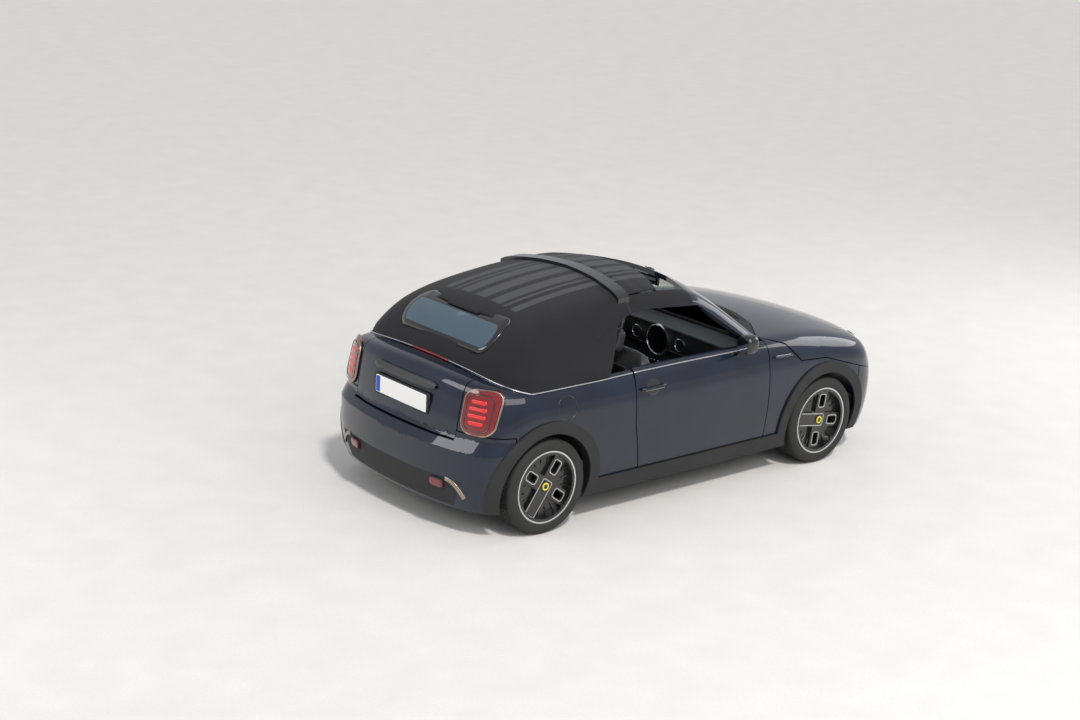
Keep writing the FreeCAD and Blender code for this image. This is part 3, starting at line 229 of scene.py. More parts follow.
def share_mix(low, high, share):
    return low + (high - low) * np.clip(share, 0, 1)


def smooth_max(first, second, blend):
    near = np.maximum(blend - np.abs(first - second), 0) / blend
    return np.maximum(first, second) + near ** 3 * blend / 6


# The body's outside as a measure that is zero on its surface and below zero inside
def hull(points):
    x, out, z = points[..., 0], np.abs(points[..., 1]), points[..., 2]
    wide = S.half_width - S.plan_bow * ((x - S.widest_x) / S.plan_bow_span) ** 2
    wide -= S.tuck_in * (over(S.waist_z - z) / S.tuck_height) ** 2
    wide -= S.tumble_in * (over(z - S.waist_z) / S.tumble_height) ** 2.2
    top = S.deck_z - S.bonnet_fall * (over(x - S.bonnet_start_x) / S.bonnet_run) ** 2.2
    top -= S.deck_crown * (out / S.deck_half) ** 2
    chin = S.chin_lean * (over(S.chin_z - z) / S.chin_height) ** 2
    nose = S.nose_x - S.nose_bow * (out / S.nose_half) ** 2.2 - chin
    nose -= S.nose_lean * (over(z - S.nose_lean_z) / S.nose_lean_height) ** 2
    tail = S.tail_x - S.tail_bow * (out / S.tail_half) ** 2.4 - chin
    tail -= S.tail_step * np.clip((z - S.tail_step_z) / S.tail_step_height, 0, 1)
    tail -= S.tail_lean * (over(z - S.tail_step_z) / S.tail_lean_height) ** 1.5
    blend_top = share_mix(S.blend_top_cabin, S.blend_top_front, (x - S.bonnet_start_x) / S.blend_top_run)
    blend_top = share_mix(blend_top, S.blend_top_rear, (S.blend_top_rear_x - x) / S.blend_top_rear_run)
    walls = smooth_max(smooth_max(out - wide, x - nose, S.blend_front), -x - tail, S.blend_rear)
    return smooth_max(smooth_max(walls, z - top, blend_top), S.floor_z - z, S.blend_bottom)


# The same for the windscreen, the roof and the back of the top
def greenhouse(points):
    x, out, z = points[..., 0], np.abs(points[..., 1]), points[..., 2]
    ahead, behind = over(x - S.roof_peak_x), over(S.roof_peak_x - x)
    top = S.roof_z - S.roof_crown * (out / S.roof_half) ** 2
    top -= S.roof_fall_front * (ahead / S.roof_run_front) ** 2 + S.roof_fall_rear * (behind
                                                                                     / S.roof_run_rear) ** 2
    screen = S.screen_base_x - (z - S.screen_base_z) * S.screen_run / S.screen_rise
    screen -= S.screen_bow * (out / S.screen_half) ** 2
    back = S.back_base_x + (z - S.back_base_z) * S.back_run / S.back_rise + S.back_bow * (out
                                                                                          / S.back_half) ** 2
    wide = S.glass_side_y - (z - S.glass_side_z) * S.glass_side_in / S.glass_side_rise
    screen_lean = math.hypot(S.screen_run, S.screen_rise) / S.screen_rise
    back_lean = math.hypot(S.back_run, S.back_rise) / S.back_rise
    walls = smooth_max(out - wide, (x - screen) / screen_lean, S.blend_post)
    walls = smooth_max(walls, (back - x) / back_lean, S.blend_back_side)
    return smooth_max(walls, z - top, share_mix(S.blend_screen, S.blend_back, behind / S.roof_run_rear))


def slope(measure, points):
    step = np.eye(3) * 0.5
    grad = np.stack([measure(points + step[i]) - measure(points - step[i]) for i in range(3)], -1)
    return grad / np.maximum(np.linalg.norm(grad, axis=-1, keepdims=True), 1e-9)


# The last place on the way from a start at which a test still holds
def last_place(holds, start, aim, reach, rounds):
    low, high = np.zeros(aim.shape[:-1] or start.shape[:-1]), reach
    for _ in range(rounds):
        middle = (low + high) / 2
        held = holds(start + middle[..., None] * aim)
        low, high = np.where(held, middle, low), np.where(held, high, middle)
    return start + low[..., None] * aim


# Goes from a start along a direction, inwards, until it meets the surface at a level
def cast(measure, start, direction, level=0.0, reach=1500.0):
    start = np.asarray(start, float)
    direction = np.asarray(direction, float) / np.linalg.norm(direction)
    return last_place(lambda points: measure(points) > level, start, direction, reach, 40)


def link(name, mesh, body):
    made = bpy.data.objects.new(name, mesh)
    bpy.context.scene.collection.objects.link(made)
    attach(made, body)
    return made


# A rigid node's own mesh again, with its outer faces divided and laid on the true surface
LONGEST_EDGE, WELD = 0.045, 2e-5
INSIDE_DEPTH = -17.0
FACING_SHARE, MOST_ROUNDS = 0.75, 7


def smooth_skin(node, paint, levels, reach=13.0, only_below=None, inside=None):
    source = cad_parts[node]
    mesh = source.data.copy()
    mesh.materials.clear()
    for item in (paint, inside or paint):
        mesh.materials.append(item)
    work = bmesh.new()
    work.from_mesh(mesh)
    bmesh.ops.remove_doubles(work, verts=work.verts, dist=WELD)
    bmesh.ops.triangulate(work, faces=work.faces)
    if only_below is not None:
        work.faces.ensure_lookup_table()
        middles = np.array([face.calc_center_median()[:] for face in work.faces]) / MM
        above = hull(middles) > only_below
        bmesh.ops.delete(work, geom=[face for face, out in zip(work.faces, above) if out], context="FACES")

    def near_faces():
        work.verts.index_update()
        work.faces.index_update()
        points = np.array([vert.co[:] for vert in work.verts]) / MM
        faces = np.array([[vert.index for vert in face.verts] for face in work.faces])
        flat = np.array([face.normal[:] for face in work.faces])
        found = np.full(len(faces), -1)
        states = []
        for number, (measure, level) in enumerate(levels):
            value, grad = measure(points), slope(measure, points)
            every = (np.abs(value - level) < reach)[faces].all(1)
            facing = (flat * grad[faces].sum(1)).sum(1) / 3
            found[every & (np.abs(facing) > FACING_SHARE) & (found < 0)] = number
            states.append((value, grad, facing))
        return points, faces, flat, found, states

    for _ in range(MOST_ROUNDS):
        found = near_faces()[3]
        chosen = {edge for face in work.faces if found[face.index] >= 0 for edge in face.edges}
        chosen = [edge for edge in chosen if edge.calc_length() > LONGEST_EDGE]
        if not chosen:
            break
        bmesh.ops.subdivide_edges(work, edges=chosen, cuts=1, use_grid_fill=True)
        bmesh.ops.triangulate(work, faces=work.faces)
    points, faces, flat, found, states = near_faces()
    moved = points.copy()
    normals = np.repeat(flat, 3, axis=0).reshape(len(faces), 3, 3)
    for number, (measure, level) in enumerate(levels):
        value, grad, facing = states[number]
        mine = found == number
        own = np.unique(faces[mine])
        moved[own] = points[own] + ((level - value)[:, None] * grad)[own]
        normals[mine] = grad[faces[mine]] * np.sign(facing[mine])[:, None, None]
    for vert, place in zip(work.verts, moved * MM):
        vert.co = place
    depth = hull(points[faces].mean(1))
    for face in work.faces:
        face.smooth = True
        if inside and depth[face.index] < INSIDE_DEPTH:
            face.material_index = 1
    work.to_mesh(mesh)
    work.free()
    mesh.normals_split_custom_set([tuple(normal) for normal in normals.reshape(-1, 3)])
    made = link(node + "_skin", mesh, BODIES.get(node, "chassis"))
    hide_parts(node)
    return made


BODIES = {"door_right": "door_right", "door_left": "door_left", "bonnet": "bonnet", "tailgate": "tailgate"}
FLUSH, TRIM = (hull, 0.0), (hull, 14.0)
ROOF, ROOF_PROUD, GLASS_BACK = (greenhouse, 0.0), (greenhouse, 30.0), (greenhouse, -6.0)
for node in ("bonnet", "front_wings", "front_bumper", "tailgate", "rear_bumper"):
    smooth_skin(node, PAINT, [FLUSH])
smooth_skin("rear_body", PAINT, [FLUSH], inside=LINER)
for node in ("door_right", "door_left"):
    smooth_skin(node, PAINT, [FLUSH], only_below=2, inside=DASH)
for node, paint, levels, reach in (
        ("front_grilles", GLOSS, [FLUSH], 13), ("bumper_insert", MATT, [FLUSH], 13),
        ("cowl_panel", MATT, [FLUSH], 13), ("arch_and_sill_trims", MATT, [TRIM], 7),
        ("tail_lamps", RED_LENS, [TRIM], 7), ("fog_lamps", RED_LENS, [TRIM], 7),
        ("windscreen_frame", PAINT, [ROOF], 24), ("windscreen", GLASS, [ROOF, GLASS_BACK], 3),
        ("roof_side_rails", CLOTH, [ROOF], 13), ("roof_bow", GLOSS, [ROOF_PROUD], 7)):
    smooth_skin(node, paint, levels, reach)


# Shapes for the small pieces
def full_turn(steps):
    return np.linspace(0, 2 * math.pi, steps + 1)[:-1]


# A circle drawn out towards a square, where power is below 1
def squared(angle, power):
    return (math.copysign(abs(part) ** power, part) for part in (math.cos(angle), math.sin(angle)))


def grid(name, rows, paint, body="chassis", close=False, thick=0, smooth=60, material_of=None,
         drop=None, bevel=0):
    tall, wide = len(rows), len(rows[0])
    points = [point for row in rows for point in row]
    faces, marks = [], []
    for i in range(tall - 1):
        for j in range(wide if close else wide - 1):
            k = (j + 1) % wide
            if drop and drop(i, j):
                continue
            faces.append((i * wide + j, i * wide + k, (i + 1) * wide + k, (i + 1) * wide + j))
            marks.append(material_of(i, j) if material_of else 0)
    paints = paint if isinstance(paint, (list, tuple)) else [paint]
    mesh = bpy.data.meshes.new(name)
    mesh.from_pydata([tuple(float(c) * MM for c in point) for point in points], [], faces)
    for item in paints:
        mesh.materials.append(item)
    mesh.polygons.foreach_set("material_index", marks)
    work = bmesh.new()
    work.from_mesh(mesh)
    bmesh.ops.remove_doubles(work, verts=work.verts, dist=1e-6)
    for edge in work.edges:
        edge.smooth = len(edge.link_faces) != 2 or edge.calc_face_angle(0) < math.radians(smooth)
    for face in work.faces:
        face.smooth = True
    work.to_mesh(mesh)
    work.free()
    made = link(name, mesh, body)
    if thick:
        wall = made.modifiers.new("solidify", "SOLIDIFY")
        wall.thickness = thick * MM
        wall.offset = -1
    if bevel:
        soft = made.modifiers.new("bevel", "BEVEL")
        soft.width = bevel * MM
        soft.segments = 2
        soft.limit_method = "ANGLE"
        soft.angle_limit = 0.6
    return made


def tube(name, path, wide, tall, paint, body="chassis", close=False, up=(0.0, 0.0, 1.0), sides=10,
         square=1.0):
    path = np.asarray(path, float)
    count = len(path)
    if close:
        along = np.roll(path, -1, 0) - np.roll(path, 1, 0)
    else:
        along = np.gradient(path, axis=0)
    along /= np.linalg.norm(along, axis=1, keepdims=True)
    side = np.cross(up, along)
    side /= np.maximum(np.linalg.norm(side, axis=1, keepdims=True), 1e-9)
    up = np.cross(along, side)
    rings = []
    for angle in full_turn(sides):
        c, s = squared(angle, square)
        rings.append(path + side * c * wide / 2 + up * s * tall / 2)
    rows = [[ring[i] for ring in rings] for i in range(count)]
    if close:
        rows.append(rows[0])
    made = grid(name, rows, paint, body, close=True)
    if not close:
        cap_ends(made, sides, count)
    return made


def cap_ends(made, sides, count):
    work = bmesh.new()
    work.from_mesh(made.data)
    work.verts.ensure_lookup_table()
    for first in (0, (count - 1) * sides):
        ring = [work.verts[first + i] for i in range(sides)]
        try:
            work.faces.new(ring)
        except ValueError:
            pass
    bmesh.ops.recalc_face_normals(work, faces=work.faces)
    work.to_mesh(made.data)
    work.free()


def lathe(name, profile, centre, paint, body="chassis", axis="y", steps=72, flip=1, smooth=35,
          shape=None):
    rows = []
    for angle in np.linspace(0, 2 * math.pi, steps + 1):
        row = []
        for radius, along in profile:
            if shape:
                radius = shape(radius, along, angle)
            a, b = radius * math.cos(angle), radius * math.sin(angle)
            along *= flip
            row.append({"y": (a, along, b), "x": (along, a, b), "z": (a, b, along)}[axis])
        rows.append([tuple(np.add(point, centre)) for point in row])
    return grid(name, rows, paint, body, smooth=smooth)


def rounded(width, height, radius, steps=8):
    loop = []
    for turn, (cx, cy) in enumerate(((1, 1), (-1, 1), (-1, -1), (1, -1))):
        for step in range(steps + 1):
            angle = math.pi / 2 * (turn + step / steps)
            loop.append((cx * (width / 2 - radius) + radius * math.cos(angle),
                         cy * (height / 2 - radius) + radius * math.sin(angle)))
    return loop


def on_body(y, z, level=0.0, rear=True, measure=hull):
    y, z = np.broadcast_arrays(np.asarray(y, float), np.asarray(z, float))
    start = np.stack([np.full(y.shape, -2600.0 if rear else 2600.0), y, z], -1)
    return cast(measure, start, np.array([1.0 if rear else -1.0, 0, 0]), level, 2600)


def on_side(x, z, side=-1, level=0.0, measure=hull):
    x, z = np.broadcast_arrays(np.asarray(x, float), np.asarray(z, float))
    start = np.stack([x, np.full(x.shape, side * 1500.0), z], -1)
    return cast(measure, start, np.array([0, -side * 1.0, 0]), level, 1400)


def on_top(x, y, level=0.0, measure=greenhouse):
    x, y = np.broadcast_arrays(np.asarray(x, float), np.asarray(y, float))
    start = np.stack([x, y, np.full(x.shape, 2200.0)], -1)
    return cast(measure, start, np.array([0, 0, -1.0]), level, 2000)


SIDES = ((-1, "right"), (1, "left"))

# Folding top: one curved sheet from the belt line up to the raised bow, with its seams
TOP_CENTRE = np.array((-600.0, 0.0, 930.0))
BOW_X, BOW_HALF, WINDOW_LOW_X, WINDOW_TOP_X, WINDOW_TOP_Z = -545, 548, -835, -650, 1262
BELT_REACH = math.pi - math.atan2(800, WINDOW_LOW_X - TOP_CENTRE[0])
CLOTH_PROUD = 4.0
PULL_IN, PULL_START_Z, PULL_HEIGHT = 16.0, 1010.0, 80.0
WINDOW_AHEAD_X, WINDOW_LAP = -1150, 4


# The cloth follows the roof form, and draws in above the belt to sit on the body's shoulder
def cloth_form(points):
    return greenhouse(points) + PULL_IN * np.clip((PULL_START_Z - points[..., 2]) / PULL_HEIGHT, 0, 1)


def outward(start, aim, level):
    return last_place(lambda points: cloth_form(points) < level, start, aim, 2000.0, 32)


def roof_from_centre(directions, level=CLOTH_PROUD):
    return outward(TOP_CENTRE, directions / np.linalg.norm(directions, axis=-1, keepdims=True), level)


def meet_body(place, low=922.0, high=1090.0, lift=2.0):
    for _ in range(24):
        middle = (low + high) / 2
        points = place(middle)
        outside = hull(points) > lift
        low, high = np.where(outside, low, middle), np.where(outside, middle, high)
    return points


def belt_line(angles, level=CLOTH_PROUD, lift=2.0):
    def place(height):
        height = np.broadcast_to(height, angles.shape)
        start = np.stack([np.full(angles.shape, TOP_CENTRE[0]), 0 * angles, height], -1)
        aim = np.stack([np.cos(angles), np.sin(angles), 0 * angles], -1)
        return outward(start, aim, level)
    return meet_body(place, lift=lift)


def side_belt(xs, side, level, lift=2.0):
    return meet_body(lambda height: on_side(xs, np.broadcast_to(height, xs.shape), side, level, cloth_form),
                     lift=lift)


def make_canopy():
    across, up = 241, 81
    share = np.linspace(-1, 1, across)
    belt = belt_line(math.pi - BELT_REACH * share)
    corners = [(WINDOW_TOP_X, WINDOW_TOP_Z), (BOW_X, WINDOW_TOP_Z + 5)]
    edge = [belt[0]] + [on_side(x, z, -1, CLOTH_PROUD, greenhouse) for x, z in corners]
    bow = [on_top(BOW_X, y, CLOTH_PROUD) for y in np.linspace(-BOW_HALF, 0, 9)]
    near = np.array(edge + bow)
    far = near[::-1][1:] * (1, -1, 1)
    front = np.concatenate([near, far])
    length = np.concatenate([[0], np.cumsum(np.linalg.norm(np.diff(front, axis=0), axis=1))])
    length = length / length[-1] * 2 - 1
    front = np.stack([np.interp(share, length, front[:, i]) for i in range(3)], -1)
    rows = []
    for t in np.linspace(0, 1, up):
        aim = (belt - TOP_CENTRE) * (1 - t) + (front - TOP_CENTRE) * t
        rows.append(roof_from_centre(aim))
    rows = np.array(rows)
    outline = window_outline(-WINDOW_LAP)

    def in_window(i, j):
        middle = (rows[i, j] + rows[i + 1, j + 1]) / 2
        return middle[0] < WINDOW_AHEAD_X and inside_loop(middle[1:], outline)

    made = grid("canopy", rows, CLOTH, thick=3, smooth=180, drop=in_window)
    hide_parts("folding_top")
    return rows


WINDOW_Z, WINDOW_TALL, WINDOW_WIDE, WINDOW_ROUND = 1187, 172, 880, 78


def window_outline(grow, steps=10):
    return [(y, z + WINDOW_Z) for y, z in rounded(WINDOW_WIDE + 2 * grow, WINDOW_TALL + 2 * grow,
                                                  WINDOW_ROUND + grow, steps)]


def inside_loop(point, loop):
    y, z = point
    odd = False
    for (y0, z0), (y1, z1) in zip(loop, loop[1:] + loop[:1]):
        if (z0 > z) != (z1 > z) and y < (y1 - y0) * (z - z0) / (z1 - z0) + y0:
            odd = not odd
    return odd


canopy = make_canopy()

# Rear window: tinted glass with a dark edge and a sewn cloth frame
rings = []
for grow, lift in ((14, 1.5), (10, 9), (-22, 9), (-70, 9)):
    loop = np.array(window_outline(grow))
    rings.append(on_body(loop[:, 0], loop[:, 1], CLOTH_PROUD + lift, True, greenhouse))
centre_line = rings[-1].copy()
centre_line[:, 2] = WINDOW_Z
centre_line = on_body(centre_line[:, 1] * 0.9, centre_line[:, 2], CLOTH_PROUD + 6, True, greenhouse)
glass = grid("rear_glass", rings + [centre_line], [REAR_GLASS, GLOSS], close=True,
             material_of=lambda i, j: 1 if i < 2 else 0, thick=2, smooth=180)
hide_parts("rear_window")


def seam(name, points):
    tube(name, points, 5, 3, CLOTH, up=(0.3, 0.1, 1.0))


loop = np.array(window_outline(24))
edge_path = on_body(loop[:, 0], loop[:, 1], CLOTH_PROUD + 1, True, greenhouse)
tube("window_seam", edge_path, 6, 4, CLOTH, close=True, up=(-1.0, 0, 0.6))
SEAM_X, SEAM_HALF, SEAM_BOW = (-880, -1285), 500, 40
for number, x in enumerate(SEAM_X):
    ys = np.linspace(-SEAM_HALF, SEAM_HALF, 41)
    seam("cross_seam_%d" % number, on_top(x + SEAM_BOW * (ys / SEAM_HALF) ** 2, ys, CLOTH_PROUD + 0.5))
for side, name in SIDES:
    span = np.linspace(0, 1, 30)
    low, high = canopy[3, 6 if side < 0 else -7], canopy[-1, 26 if side < 0 else -27]
    aim = (low - TOP_CENTRE) * (1 - span[:, None]) + (high - TOP_CENTRE) * span[:, None]
    seam("quarter_seam_" + name, roof_from_centre(aim, CLOTH_PROUD + 0.5))
tube("canopy_hem", canopy[0], 12, 7, CLOTH)

# Slid front panel: a second sheet that lies bunched at its rear, under the bow
SLIDER_FRONT_X, SLIDER_BOW, SLIDER_CURVE, FOLDS, FOLD_HEIGHT = -95, 160, 1.8, 3, 3.5


def make_slider():
    rows = []
    ys = np.linspace(-BOW_HALF + 1, BOW_HALF - 1, 61)
    front = SLIDER_FRONT_X - SLIDER_BOW * (np.abs(ys) / BOW_HALF) ** SLIDER_CURVE
    for t in np.linspace(0, 1, 41):
        xs = BOW_X + 5 + (front - BOW_X - 5) * t
        ripple = FOLD_HEIGHT * math.sin(t * 2 * math.pi * FOLDS) * (1 - t) * np.cos(ys / BOW_HALF * 1.2)
        rows.append(on_top(xs, ys, CLOTH_PROUD) + np.stack([0 * ys, 0 * ys, ripple], -1))
    drop = rows[-1] + (6, 0, -7)
    tuck = rows[-1] + (-4, 0, -22)
    made = grid("slid_panel", rows + [drop, tuck], CLOTH, thick=3, smooth=180)
    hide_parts("sliding_panel")
    seam("panel_seam", rows[-4] + (0, 0, 1))


make_slider()


# Wheels: tyre with tread, silver outlines on the four arms, hub cap with a yellow ring, brake disc
TYRE = [(233, 84), (238, 97), (247, 101), (262, 103), (280, 101.5), (294, 97), (302, 90), (306, 82),
        (307.5, 72), (307.8, 58), (302, 56.5), (302, 50.5), (307.9, 49), (308, 28), (301.5, 26.5),
        (301.5, 20.5), (308, 19), (308, 0)]
TYRE = TYRE + [(radius, -along) for radius, along in TYRE[-2::-1]]
TREAD_BLOCKS, TREAD_RADIUS, TREAD_HALF, RIB_HALF = 72, 304, 84, 30
GROOVE_SHARE, GROOVE_DEPTH, GROOVE_SKEW, RIB_OFFSET = 0.16, 5, 0.006, 0.25


def tread(radius, along, angle):
    if radius < TREAD_RADIUS or abs(along) > TREAD_HALF:
        return radius
    offset = RIB_OFFSET if abs(along) > RIB_HALF else 0.0
    phase = (angle / (2 * math.pi) * TREAD_BLOCKS + abs(along) * GROOVE_SKEW + offset) % 1
    return radius - (GROOVE_DEPTH if phase < GROOVE_SHARE else 0)


RIBS, RIB_ENDS = 20, ((150, 56), (203, 60))


def make_wheel(place, x, side, bar_angle):
    body = "wheel_" + place
    centre = (x, side * WHEEL_Y, WHEEL_Z)
    tyre = lathe("tyre_tread_" + place, TYRE, centre, RUBBER, body, steps=TREAD_BLOCKS * 4, smooth=28,
                 shape=tread)
    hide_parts("tyre_" + place)
    turn = math.radians(bar_angle)
    forward = np.array((math.cos(turn), 0.0, math.sin(turn)))
    across = np.array((-math.sin(turn), 0.0, math.cos(turn)))
    out = np.array((0.0, side, 0.0))

    def outline(name, middle, size, radius, direction=1.0, cross=0.0, height=75.5, wide=6):
        along = forward * direction + across * cross
        other = across * direction - forward * cross
        loop = [centre + along * (middle + p) + other * q + out * height for p, q in rounded(*size, radius)]
        tube(name + "_" + place, loop, wide, 3.5, SILVER, body, close=True, up=out, sides=8, square=0.6)

    outline("long_bar", 83, (248, 84), 14)
    for number, (direction, cross) in enumerate(((0, 1), (0, -1), (-1, 0))):
        outline("arm_frame_%d" % number, 136, (94, 62), 17, direction, cross)
    ring = [(226, 95.5), (231, 97), (235.5, 96.5), (235.5, 94)]
    lathe("rim_edge_" + place, ring, centre, SILVER, body, flip=side, steps=96)
    lathe("hub_cap_" + place, [(0, 81), (20, 81), (33, 79.5), (35, 74)], centre, GLOSS, body,
          flip=side)
    lathe("hub_ring_" + place, [(16, 81), (17, 83.5), (24, 83.5), (25.5, 80.5)], centre, YELLOW, body,
          flip=side)
    lathe("brake_disc_" + place, [(50, 12), (60, 22), (140, 22), (143, 10), (140, -2), (50, -2)], centre,
          CAST, body, flip=side)
    for number in range(RIBS):
        angle = 2 * math.pi * (number + 0.5) / RIBS
        ends = [centre + np.array((math.cos(angle) * radius, side * along, math.sin(angle) * radius))
                for radius, along in RIB_ENDS]
        tube("rib_%s_%d" % (place, number), ends, 7, 7, WHEEL, body, sides=6, up=out)


for place, x, side, bar in (("front_right", FRONT_AXLE, -1, 171), ("front_left", FRONT_AXLE, 1, 9),
                            ("rear_right", REAR_AXLE, -1, 235), ("rear_left", REAR_AXLE, 1, -55)):
    make_wheel(place, x, side, bar)

# Tail lamps: bezel and plain light bars; third lamp; fog lamp bezels and the insert's end trims
LAMP_Y, LAMP_Z, LAMP_WIDE, LAMP_TALL, LAMP_ROUND = 657, 813.5, 210, 269, 70
FOG_Y, FOG_Z = 430, 326


def patch(name, loops, paint, body="chassis", thick=2.0):
    centre = loops[-1].mean(0)
    rows = list(loops) + [np.tile(centre, (len(loops[-1]), 1))]
    return grid(name, rows, paint, body, close=True, thick=thick, smooth=50)


def rear_loop(y, z, width, height, radius, level):
    loop = np.array(rounded(width, height, radius))
    return on_body(loop[:, 0] + y, loop[:, 1] + z, level)


def rear_patch(name, y, z, width, height, radius, level, paint, dome):
    loops = [rear_loop(y, z, width - 2 * inset, height - 2 * inset, max(radius - inset, 0.5), level + rise)
             for inset, rise in ((0, -4), (0, 0), (min(width, height) * 0.12, dome),
                                 (min(width, height) * 0.4, dome))]
    return patch(name, loops, paint, thick=0)


for side, name in SIDES:
    bezel = rear_loop(side * (LAMP_Y + 2), LAMP_Z, LAMP_WIDE + 8, LAMP_TALL + 3, LAMP_ROUND, 9)
    tube("lamp_bezel_" + name, bezel, 13, 12, BRONZE, close=True, up=(-1.0, side * 0.3, 0.2))
    inner = rear_loop(side * LAMP_Y, LAMP_Z, LAMP_WIDE - 44, LAMP_TALL - 44, LAMP_ROUND - 22, 15)
    tube("lamp_ring_" + name, inner, 7, 4, LAMP_BLACK_AND_SHADE, close=True,
         up=(-1.0, side * 0.3, 0.2))
    for number, (dz, wide) in enumerate(((66, 96), (22, 118), (-22, 118), (-66, 96))):
        rear_patch("lamp_bar_%s_%d" % (name, number), side * (LAMP_Y - 6), LAMP_Z + dz, wide, 24, 11, 15,
                   RED_GLOW, 2)
    fog = rear_loop(side * FOG_Y, FOG_Z, 112, 58, 20, 13)
    tube("fog_bezel_" + name, fog, 9, 8, MATT, close=True, up=(-1.0, 0, 0))
    rear_patch("fog_lens_" + name, side * FOG_Y, FOG_Z, 104, 50, 18, 13, RED_LENS, 3)
    span = np.linspace(0, 1, 20)
    ys, zs = 500 + 130 * span, 366 - 8 * span - 95 * span ** 2.4
    swoosh = on_body(side * ys, zs, 3)
    tube("insert_trim_" + name, swoosh, 26, 7, BRONZE, sides=12, square=0.7, up=(-1.0, side * 0.6, 0))

PLATE_Z, PLATE_WIDE, PLATE_TALL = 778, 520, 110
plate_x = float(on_body(0, PLATE_Z)[0]) - 2


def flat_box(name, x, y, z, deep, width, height, radius, paint, body):
    front = [(x - deep, y + a, z + b) for a, b in rounded(width, height, radius, 5)]
    edge = [(x - deep + 2, y + a, z + b) for a, b in rounded(width + 3, height + 3, radius + 1.5, 5)]
    back = [(x, py, pz) for _, py, pz in edge]
    middle = [(x - deep, y + a * 0.5, z + b * 0.5) for a, b in rounded(width, height, radius, 5)]
    centre = [(x - deep, y, z)] * len(front)
    return grid(name, [back, edge, front, middle, centre], paint, body, close=True, smooth=30)


flat_box("plate_holder", plate_x + 14, 0, PLATE_Z, 20, 548, 134, 16, MATT, "tailgate")
flat_box("plate", plate_x - 5, 0, PLATE_Z, 4, PLATE_WIDE, PLATE_TALL, 8, WHITE, "tailgate")
flat_box("plate_band", plate_x - 8.5, PLATE_WIDE / 2 - 24, PLATE_Z, 1.5, 40, 102, 5, BLUE, "tailgate")
GARNISH_Z, GARNISH_HALF = 897, 312
ys = np.linspace(-GARNISH_HALF, GARNISH_HALF, 49)
ends = np.clip((GARNISH_HALF - np.abs(ys)) / 40, 0, 1) ** 0.5
rows = []
for angle in full_turn(16):
    c, s = squared(angle, 0.6)
    spine = on_body(ys, GARNISH_Z, 4)
    deep, rise = -22 * c * (0.4 + 0.6 * ends) - 8, (27 * s) * (0.25 + 0.75 * ends)
    rows.append(spine + np.stack([deep, 0 * ys, rise], -1))
grid("handle_garnish", [[row[j] for row in rows] for j in range(len(ys))], SATIN, "tailgate", close=True,
     smooth=50)
THIRD_HALF, THIRD_X = 175, -1640
third = np.arctan2(np.linspace(-THIRD_HALF, THIRD_HALF, 25), THIRD_X - TOP_CENTRE[0])
third = belt_line(third % (2 * math.pi), 16, 5)
tube("third_lamp", third, 16, 16, RED_LENS, sides=12, square=0.6)

# Bright strip along the belt, in one run round the back and one on each door
STRIP_OUT, STRIP_WIDE, STRIP_TALL, STRIP_LIFT = 11.0, 11, 9, 4
STRIP_JOINT_X, STRIP_GAP_HALF, STRIP_FRONT_X = -642, 6, 430
round_back = belt_line(math.pi + np.linspace(-BELT_REACH, BELT_REACH, 141), STRIP_OUT, STRIP_LIFT)
for side, name in SIDES:
    rear_xs = np.linspace(WINDOW_LOW_X, STRIP_JOINT_X - STRIP_GAP_HALF, 8)
    rear = side_belt(rear_xs, side, STRIP_OUT, STRIP_LIFT)
    door_xs = np.linspace(STRIP_JOINT_X + STRIP_GAP_HALF, STRIP_FRONT_X, 40)
    door_run = side_belt(door_xs, side, STRIP_OUT, STRIP_LIFT)
    tube("door_strip_" + name, door_run, STRIP_WIDE, STRIP_TALL, BRIGHT, "door_" + name, sides=12)
    if round_back[-1][1] * side > 0:
        round_back = np.concatenate([round_back, rear])
    else:
        round_back = np.concatenate([rear[::-1], round_back])
strip = tube("belt_strip", round_back, STRIP_WIDE, STRIP_TALL, BRIGHT, sides=12)
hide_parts("belt_strip_rear")
